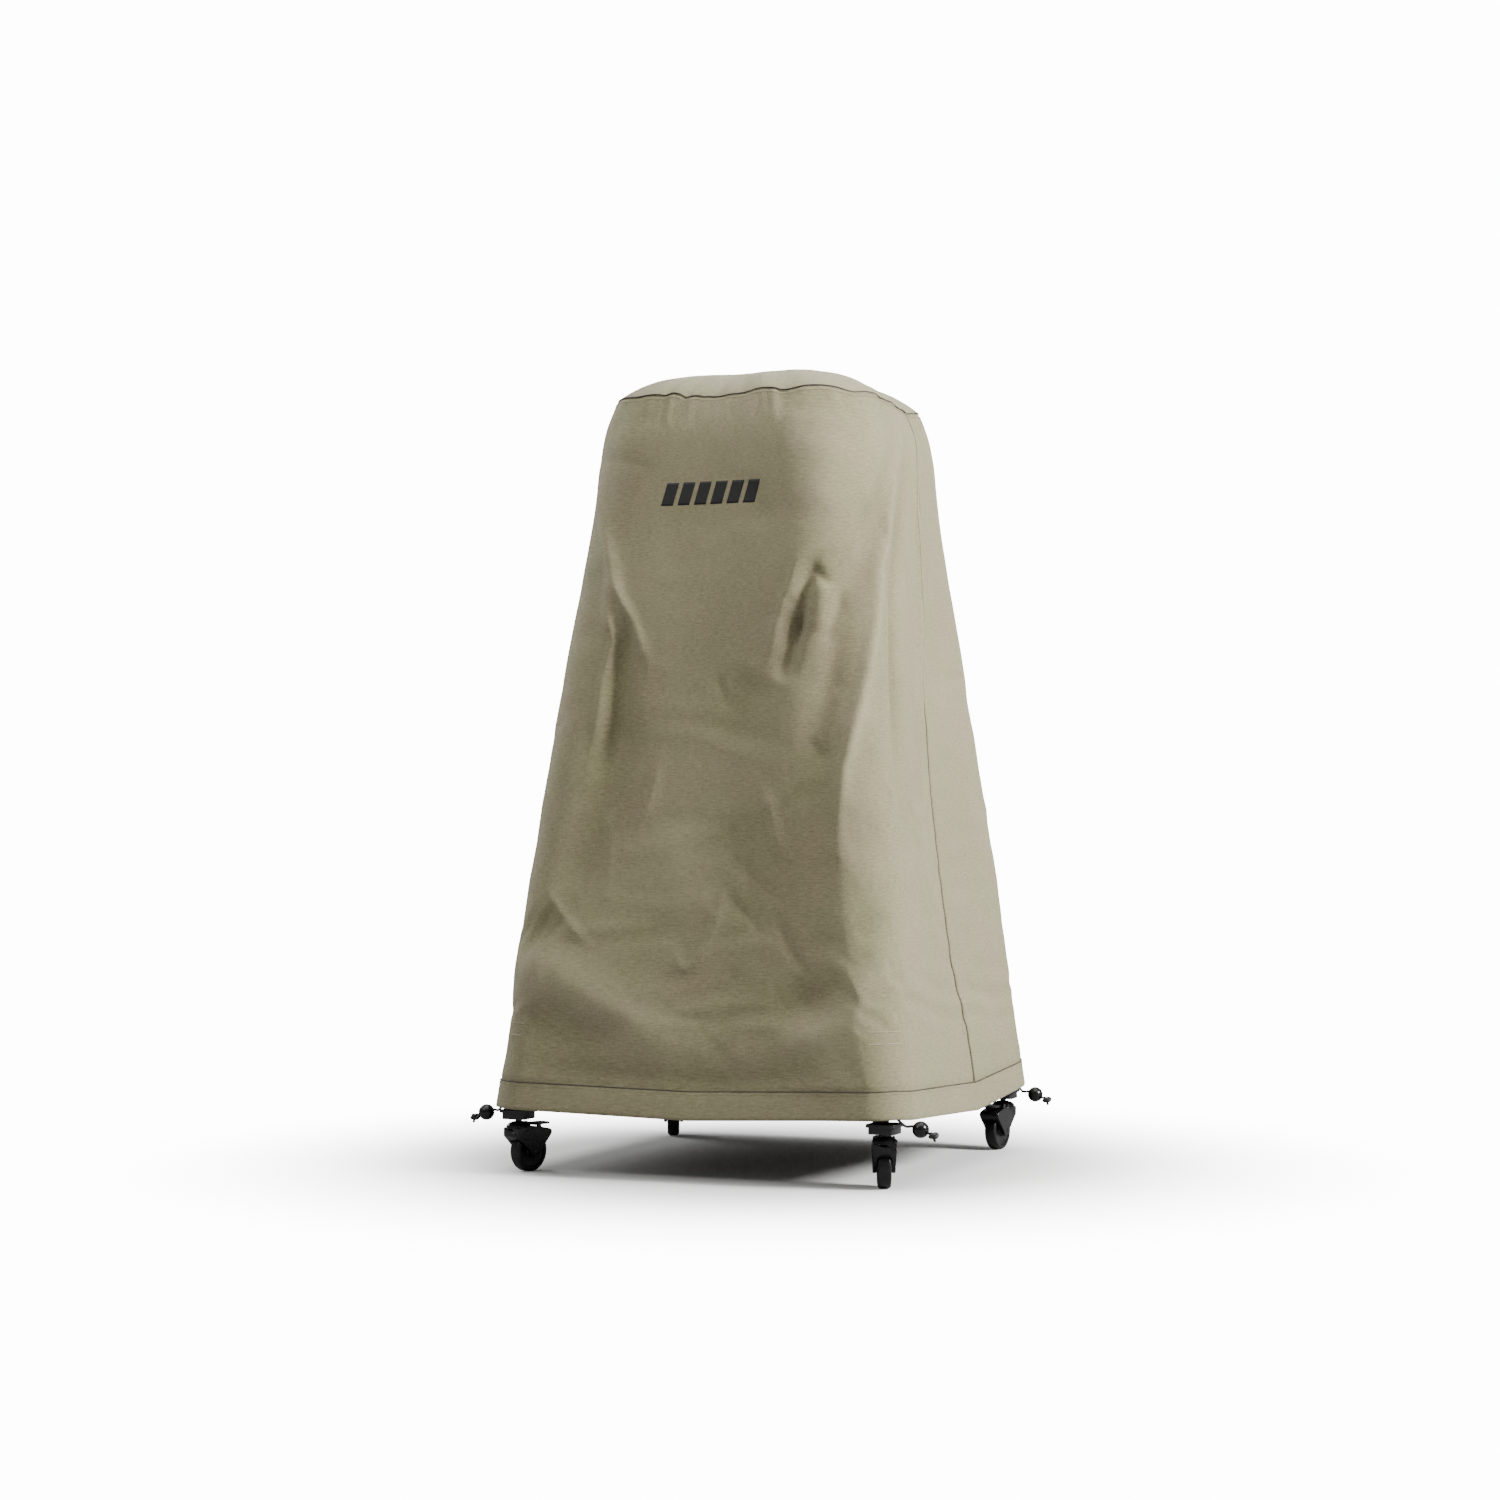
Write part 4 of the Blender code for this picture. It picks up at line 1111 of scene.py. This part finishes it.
def make_top(cloth, canvas):
    """Crowned top cloth, from the seam inward."""
    rim = cloth.place[:-1:2, -1]
    shares = [1.0, 0.994, 0.985] + list(np.linspace(0.97, 0.03, 44))
    draw = random.Random(21)
    ranges = ((-0.2, 0.2), (-0.2, 0.2), (0.04, 0.10), (-0.002, 0.0012))
    swells = [[draw.uniform(*limits) for limits in ranges] for _ in range(22)]
    gathers = top_gathers(cloth.metres[:-1:2, -1], draw)
    rings = []
    for share in shares:
        ring = rim * [share, share, 0]
        ring[:, 2] = rim[:, 2] + (CROWN_TOP - rim[:, 2]) * (1 - share ** CROWN_POWER)
        ring[:, 2] -= 0.0022 * math.exp(-((1 - share) / 0.012) ** 2)
        ring[:, 2] += gathers * math.exp(-(1 - share) / 0.10)
        for x, y, width, depth in swells:
            gap = np.hypot(ring[:, 0] - x, ring[:, 1] - y)
            ring[:, 2] += depth * np.exp(-(gap / width) ** 2) * (1 - share ** 6)
        rings.append(ring)
    points = [point for ring in rings for point in ring]
    points.append(np.array([0, 0, rings[-1][:, 2].mean()]))
    count = len(rim)
    faces = grid_faces(len(rings), count, round_rows=True)
    last = (len(rings) - 1) * count
    faces += [(last + step, len(points) - 1, last + (step + 1) % count) for step in range(count)]
    item = mesh_object("canvas_top", points, faces, canvas)
    flat = np.array(points) * [1, 1, 0]
    mark_cloth(item, flat, np.zeros(len(points)))
    thicken(item, CANVAS_THICK)
    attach(item, "cover")
    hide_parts("cover_top")
    return item


def make_hem(cloth, name, columns, canvas):
    """Doubled hem: a rounded flat band that the wall's lower edge is sewn into."""
    place = cloth.place[columns, :HEM_ROWS + 1]
    normal = cloth.normal[columns, :HEM_ROWS + 1]
    metres = cloth.metres[columns, 0]
    outer = 0.0009
    inner = -0.0030
    middle = (outer + inner) / 2
    section = [(row / HEM_ROWS, outer) for row in range(HEM_ROWS, 0, -1)]
    section += [(0.035, outer - 0.0004), (0.0, outer - 0.0016)]
    section += [(0.0, inner + 0.0016), (0.035, inner + 0.0004)]
    section += [(row / HEM_ROWS, inner) for row in range(1, HEM_ROWS + 1)]
    section.append((1.01, middle))
    count = len(section)
    points = []
    flat = []
    for column in range(len(metres)):
        for up, lift in section:
            row = up * HEM_ROWS
            low = min(int(row), HEM_ROWS - 1)
            share = row - low
            base = place[column, low] * (1 - share) + place[column, low + 1] * share
            points.append(base + normal[column, low] * lift)
            flat.append((metres[column], HEM_BOTTOM + up * (HEM_TOP - HEM_BOTTOM), 0))
    faces = grid_faces(len(metres), count, round_rows=True)
    faces.append(tuple(range(count)))
    faces.append(tuple((len(metres) - 1) * count + step for step in reversed(range(count))))
    item = mesh_object("hem_band_" + name, points, faces, canvas)
    item.data.set_sharp_from_angle(angle=math.radians(60))
    mark_cloth(item, flat, np.zeros(len(points)))
    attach(item, "cover")
    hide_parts("hem_" + name)
    return item


def inner_strip(cloth, name, turns, heights, inset, material, node):
    """Strap or tape sewn flat inside the cloth, which follows its folds."""
    place = []
    for turn in turns:
        place.append([cloth.at(turn, height, -inset(height))[0] for height in heights])
    column, row = np.meshgrid(turns, heights, indexing="ij")
    item = grid_object(
        name, np.array(place), column * QUARTER_METRES, row, np.zeros_like(row), material, STRIP_THICK
    )
    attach(item, "cover")
    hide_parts(node)


def make_strips(cloth, canvas, webbing):
    """A strap inside each corner, behind its stitches, and a tape behind each side seam."""
    def strap_inset(height):
        return 0.0016 if height > HEM_TOP + 0.008 else 0.0034

    def tape_inset(height):
        return 0.0032

    heights = np.linspace(STRAP_BOTTOM, STRAP_TOP, 25)
    for corner, start, way in STRAP_PLACES:
        turns = sorted(start + way * turn for turn in np.linspace(*STRAP_TURNS, 13))
        name = "webbing_" + corner
        inner_strip(cloth, name, turns, heights, strap_inset, webbing, "strap_" + corner)
    heights = np.linspace(HEM_TOP + 0.003, SEAM_HEIGHT - 0.006, 110)
    for side, middle in (("right", 0.0), ("left", 2.0)):
        turns = middle + np.linspace(-TAPE_TURN, TAPE_TURN, 5)
        inner_strip(cloth, "tape_" + side, turns, heights, tape_inset, canvas, "seam_tape_" + side)


# Stitches

def stitch_mesh_parts(start, end, normal, radius):
    """One stitch as a small bent tube: its ends go into the cloth and its middle stands proud."""
    way = (end - start) / np.linalg.norm(end - start)
    side = np.cross(normal, way)
    points = []
    bends = ((0, -0.9, 0.5), (0.12, 0.2, 0.9), (0.5, 0.75, 1.0), (0.88, 0.2, 0.9), (1, -0.9, 0.5))
    for share, lift, size in bends:
        centre = start + (end - start) * share + normal * (lift * radius)
        for corner in range(6):
            angle = corner * math.pi / 3
            points.append(centre + (side * math.cos(angle) + normal * math.sin(angle)) * radius * size)
    faces = grid_faces(len(bends), 6, round_rows=True, flipped=True)
    faces += [tuple(reversed(range(6))), tuple(range(24, 30))]
    return points, faces


def stitch_object(name, stitches, radius, material):
    points = []
    faces = []
    for start, end, normal in stitches:
        more_points, more_faces = stitch_mesh_parts(start, end, normal, radius)
        base = len(points)
        points += more_points
        faces += [tuple(base + index for index in face) for face in more_faces]
    item = mesh_object(name, points, faces, material)
    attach(item, "cover")


def line_stitches(line, normals, pitch, length):
    """Stitches at an even pitch along a line of places."""
    steps = np.linalg.norm(np.diff(line, axis=0), axis=1)
    travelled = np.concatenate([[0], np.cumsum(steps)])
    stitches = []
    for start in np.arange(pitch / 2, travelled[-1] - length, pitch):
        ends = []
        for distance in (start, start + length):
            ends.append(np.array([np.interp(distance, travelled, line[:, axis]) for axis in range(3)]))
        normal = np.array([np.interp(start + length / 2, travelled, normals[:, axis]) for axis in range(3)])
        stitches.append((ends[0], ends[1], normal / np.linalg.norm(normal)))
    return stitches


def round_line(cloth, height, lift):
    row = int(np.argmin(np.abs(cloth.heights - height)))
    return cloth.place[:, row] + cloth.normal[:, row] * lift, cloth.normal[:, row]


def make_seam_shadow_lines(cloth, material):
    """Dark tubes at the bottom of the seams' grooves: painted shadow lines along the hem, top and side
    seams.
    """
    lines = {}
    for name, row, lift in (("hem", HEM_ROWS, 0.0004), ("top", len(cloth.heights) - 1, -0.0012)):
        lines[name] = (cloth.place[:-1, row] + cloth.normal[:-1, row] * lift, True)
    for name, column in (("right", 0), ("left", column_near(cloth, 2))):
        place = cloth.place[column, HEM_ROWS:]
        depths = (0.0016, 0.0030, 0.0030, 0.0010)
        sink = np.interp(cloth.heights[HEM_ROWS:], (0.72, 0.80, 1.12, 1.16), depths)
        lines[name] = (place - cloth.normal[column, HEM_ROWS:] * sink[:, None], False)
    for name, (line, cyclic) in lines.items():
        item = curve_object("seam_shadow_line_" + name, line, SEAM_SHADOW_RADIUS, material, cyclic)
        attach(item, "cover")


def make_stitches(cloth, seam_thread, tack_thread):
    """Stitches beside the hem, top and side seams, and two rows of bar tacks over each strap."""
    stitches = []
    for height, lift in ((HEM_TOP - 0.0045, 0.0010), (SEAM_HEIGHT - 0.0062, 0.0002)):
        line, normals = round_line(cloth, height, lift)
        stitches += line_stitches(line, normals, STITCH_PITCH, STITCH_LENGTH)
    for turn in (0.012, 2.012):
        column = column_near(cloth, turn)
        line = cloth.place[column, HEM_ROWS:-1] + cloth.normal[column, HEM_ROWS:-1] * 0.0003
        normals = cloth.normal[column, HEM_ROWS:-1]
        stitches += line_stitches(line, normals, STITCH_PITCH, STITCH_LENGTH)
    stitch_object("seam_stitches", stitches, STITCH_RADIUS, seam_thread)
    tacks = []
    for first, last in TACK_TURNS:
        for height in TACK_HEIGHTS:
            places = [cloth.at(turn, height, 0.0002) for turn in np.linspace(first, last, 18)]
            line = np.array([place for place, _ in places])
            normals = np.array([normal for _, normal in places])
            tacks += line_stitches(line, normals, TACK_PITCH, TACK_LENGTH)
    stitch_object("strap_stitches", tacks, TACK_RADIUS, tack_thread)


def make_printed_mark(cloth, material):
    """Plain slanted bars where the front carries a print."""
    left, right = MARK_ACROSS
    low, high = MARK_UP
    pitch = (right - left - MARK_SLANT) / MARK_BARS
    points = []
    flat = []
    faces = []
    across_steps = 6
    up_steps = 10
    for bar in range(MARK_BARS):
        base = len(points)
        for across in range(across_steps + 1):
            for up in range(up_steps + 1):
                x = left + pitch * (bar + MARK_FILL * across / across_steps) + MARK_SLANT * up / up_steps
                z = low + (high - low) * up / up_steps
                place, _ = cloth.at(front_turn(x, z), z, 0.00025)
                points.append(place)
                flat.append((x, z, 0))
        for face in grid_faces(across_steps + 1, up_steps + 1):
            faces.append([base + index for index in face])
    item = mesh_object("printed_mark", points, faces, material)
    set_attribute(item.data, "cloth_place", "FLOAT_VECTOR", flat)
    thicken(item, 0.0002)
    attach(item, "cover")


def front_turn(x, z):
    """The turn of a place on the front, from how far it is across and up."""
    rise = (z - HEM_BOTTOM) / (SEAM_HEIGHT - HEM_BOTTOM)
    straight = (HEM_HALF - HEM_CORNER) + ((TOP_HALF - TOP_CORNER) - (HEM_HALF - HEM_CORNER)) * rise
    return 1 - STRAIGHT_TURN * x / straight


# Casters

def make_wheels(material):
    """Moulded wheels: round tread, dished sides and a hub."""
    shoulder = (WHEEL_RADIUS - WHEEL_ROUNDING, WHEEL_HALF_WIDTH - WHEEL_ROUNDING)
    profile = arc(shoulder, WHEEL_ROUNDING, 0, 80, 6) + list(WHEEL_SIDE)
    profile = profile + [(r, -z) for r, z in reversed(profile)]
    profile.reverse()
    for corner in CORNERS:
        low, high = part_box("caster_wheel_" + corner)
        centre = Vector(((low.x + high.x) / 2, (low.y + high.y) / 2, WHEEL_RADIUS))
        stem_low, stem_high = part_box("caster_stem_" + corner)
        stem = Vector(((stem_low.x + stem_high.x) / 2, (stem_low.y + stem_high.y) / 2, WHEEL_RADIUS))
        heading = (centre - stem).normalized()
        axle = Vector((-heading.y, heading.x, 0))
        item = turned_object("wheel_" + corner, profile, 96, centre, axle, material)
        item.data.set_sharp_from_angle(angle=math.radians(40))
        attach(item, "wheel_" + corner)
        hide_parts("caster_wheel_" + corner)


def smooth_shading():
    """Modifier nodes that shade faces smoothly, except across sharp edges."""
    group = bpy.data.node_groups.new("smooth_shading", "GeometryNodeTree")
    group.interface.new_socket("Geometry", in_out="INPUT", socket_type="NodeSocketGeometry")
    group.interface.new_socket("Geometry", in_out="OUTPUT", socket_type="NodeSocketGeometry")
    start = group.nodes.new("NodeGroupInput")
    end = group.nodes.new("NodeGroupOutput")
    faces = group.nodes.new("GeometryNodeSetShadeSmooth")
    edges = group.nodes.new("GeometryNodeSetShadeSmooth")
    edges.domain = "EDGE"
    edges.inputs["Shade Smooth"].default_value = False
    angle = group.nodes.new("GeometryNodeInputMeshEdgeAngle")
    sharp = group.nodes.new("FunctionNodeCompare")
    sharp.operation = "GREATER_THAN"
    sharp.inputs[1].default_value = math.radians(SHARP_DEGREES)
    group.links.new(angle.outputs["Unsigned Angle"], sharp.inputs[0])
    group.links.new(sharp.outputs[0], edges.inputs["Selection"])
    group.links.new(start.outputs[0], faces.inputs["Geometry"])
    group.links.new(faces.outputs[0], edges.inputs["Geometry"])
    group.links.new(edges.outputs[0], end.inputs[0])
    return group


def finish_node(name, material, shading, bevel=0.0):
    """A carried-over CAD node gets its material, smooth round faces and softly broken edges."""
    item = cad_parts[name]
    item.data.materials.clear()
    item.data.materials.append(material)
    weld = item.modifiers.new("weld", "WELD")
    weld.merge_threshold = 0.00001
    item.modifiers.new("shading", "NODES").node_group = shading
    if bevel:
        edge = item.modifiers.new("edges", "BEVEL")
        edge.width = bevel
        edge.segments = 2
        edge.limit_method = "ANGLE"
        edge.angle_limit = math.radians(BEVEL_DEGREES)
        edge.use_clamp_overlap = True
        edge.harden_normals = True


# Stage, light

def make_stage(material):
    """Floor that reaches far out of the picture on every side."""
    size = 14
    points = [(-size, -size, 0), (size, -size, 0), (size, size, 0), (-size, size, 0)]
    mesh_object("floor", points, [(0, 1, 2, 3)], material)


def area_light(name, place, target, size, power, colour):
    data = bpy.data.lights.new(name, "AREA")
    data.shape = "DISK"
    data.size = size
    data.energy = power
    data.color = colour
    item = link_object(bpy.data.objects.new(name, data))
    item.location = place
    item.rotation_euler = (Vector(target) - Vector(place)).to_track_quat("-Z", "Y").to_euler()


def make_light():
    """Large soft lights in a white studio: a key from the right, a weak fill, a rim and one overhead."""
    area_light("key", (3.8, -0.1, 2.3), (0, 0, 0.6), 1.3, 500, (1.0, 0.995, 0.985))
    area_light("fill", (-1.8, -2.9, 3.2), (0, 0, 0.9), 1.0, 58, (1.0, 0.99, 0.95))
    area_light("rim", (-3.4, 1.2, 2.0), (0, 0, 0.7), 2.2, 78, (1.0, 1.0, 1.0))
    area_light("over", (0.1, -0.2, 3.4), (0, 0, 0), 4.2, 168, (1.0, 1.0, 1.0))
    world = bpy.data.worlds.new("studio")
    world.use_nodes = True
    tree = world.node_tree
    seen = tree.nodes.new("ShaderNodeLightPath").outputs["Is Camera Ray"]
    strength = remap(tree, seen, 0, 1, AMBIENT_STRENGTH, BACKDROP_STRENGTH)
    background = tree.nodes["Background"]
    background.inputs["Color"].default_value = (1, 1, 1, 1)
    tree.links.new(strength, background.inputs["Strength"])
    bpy.context.scene.world = world


make_camera()
elastic = elastic_material()
glossy = moulded_material("glossy_plastic", (0.0028, 0.0028, 0.003), 0.24, 0.06, 0.2)
for corner, (side_x, side_y) in CORNERS.items():
    make_tie(corner, side_x, side_y, elastic, glossy)

canvas = canvas_material()
# Near-black colour of the tubes in the seam grooves: a painted shadow line, not thread
seam_shadow_paint = thread_material("seam_shadow_paint", (0.030, 0.026, 0.016))
khaki_thread = thread_material("khaki_thread", (0.20, 0.18, 0.11))
pale_thread = thread_material("pale_thread", (0.36, 0.34, 0.26))
cloth = Cloth()
front_panel, back_panel = make_panels(cloth, canvas)
top_panel = make_top(cloth, canvas)
middle_column = column_near(cloth, 2)
front_hem = make_hem(cloth, "front", slice(0, middle_column + 1), canvas)
back_hem = make_hem(cloth, "back", slice(middle_column, None), canvas)
make_seam_shadow_lines(cloth, seam_shadow_paint)
make_stitches(cloth, khaki_thread, pale_thread)
make_strips(cloth, canvas, webbing_material())
make_printed_mark(cloth, print_material())

nylon = moulded_material("satin_nylon", (0.0036, 0.0036, 0.004), 0.33, 0.2, 0.3)
powder = coated_material("powder_coat", (0.004, 0.004, 0.0045), 0.42)
oven_coat = coated_material("oven_coat", (0.045, 0.045, 0.042), 0.52)
dark_zinc = dark_zinc_material()
stone = stone_material()
make_wheels(nylon)
shading = smooth_shading()
for corner in CORNERS:
    finish_node("caster_fork_" + corner, glossy, shading, 0.0004)
    finish_node("caster_axle_" + corner, dark_zinc, shading, 0.0003)
    finish_node("caster_stem_" + corner, powder, shading)
    finish_node("brake_pedal_" + corner, glossy, shading, 0.0004)
    finish_node("foot_" + corner, powder, shading, 0.0006)
    finish_node("leg_" + corner, powder, shading)
for name in ("rail_left", "rail_right", "lower_shelf", "top_tray"):
    finish_node(name, powder, shading, 0.0005)
for name in ("oven_base", "oven_wall", "oven_dome"):
    finish_node(name, oven_coat, shading, 0.0010)
finish_node("oven_stone", stone, shading, 0.0010)

make_stage(floor_material())
make_light()
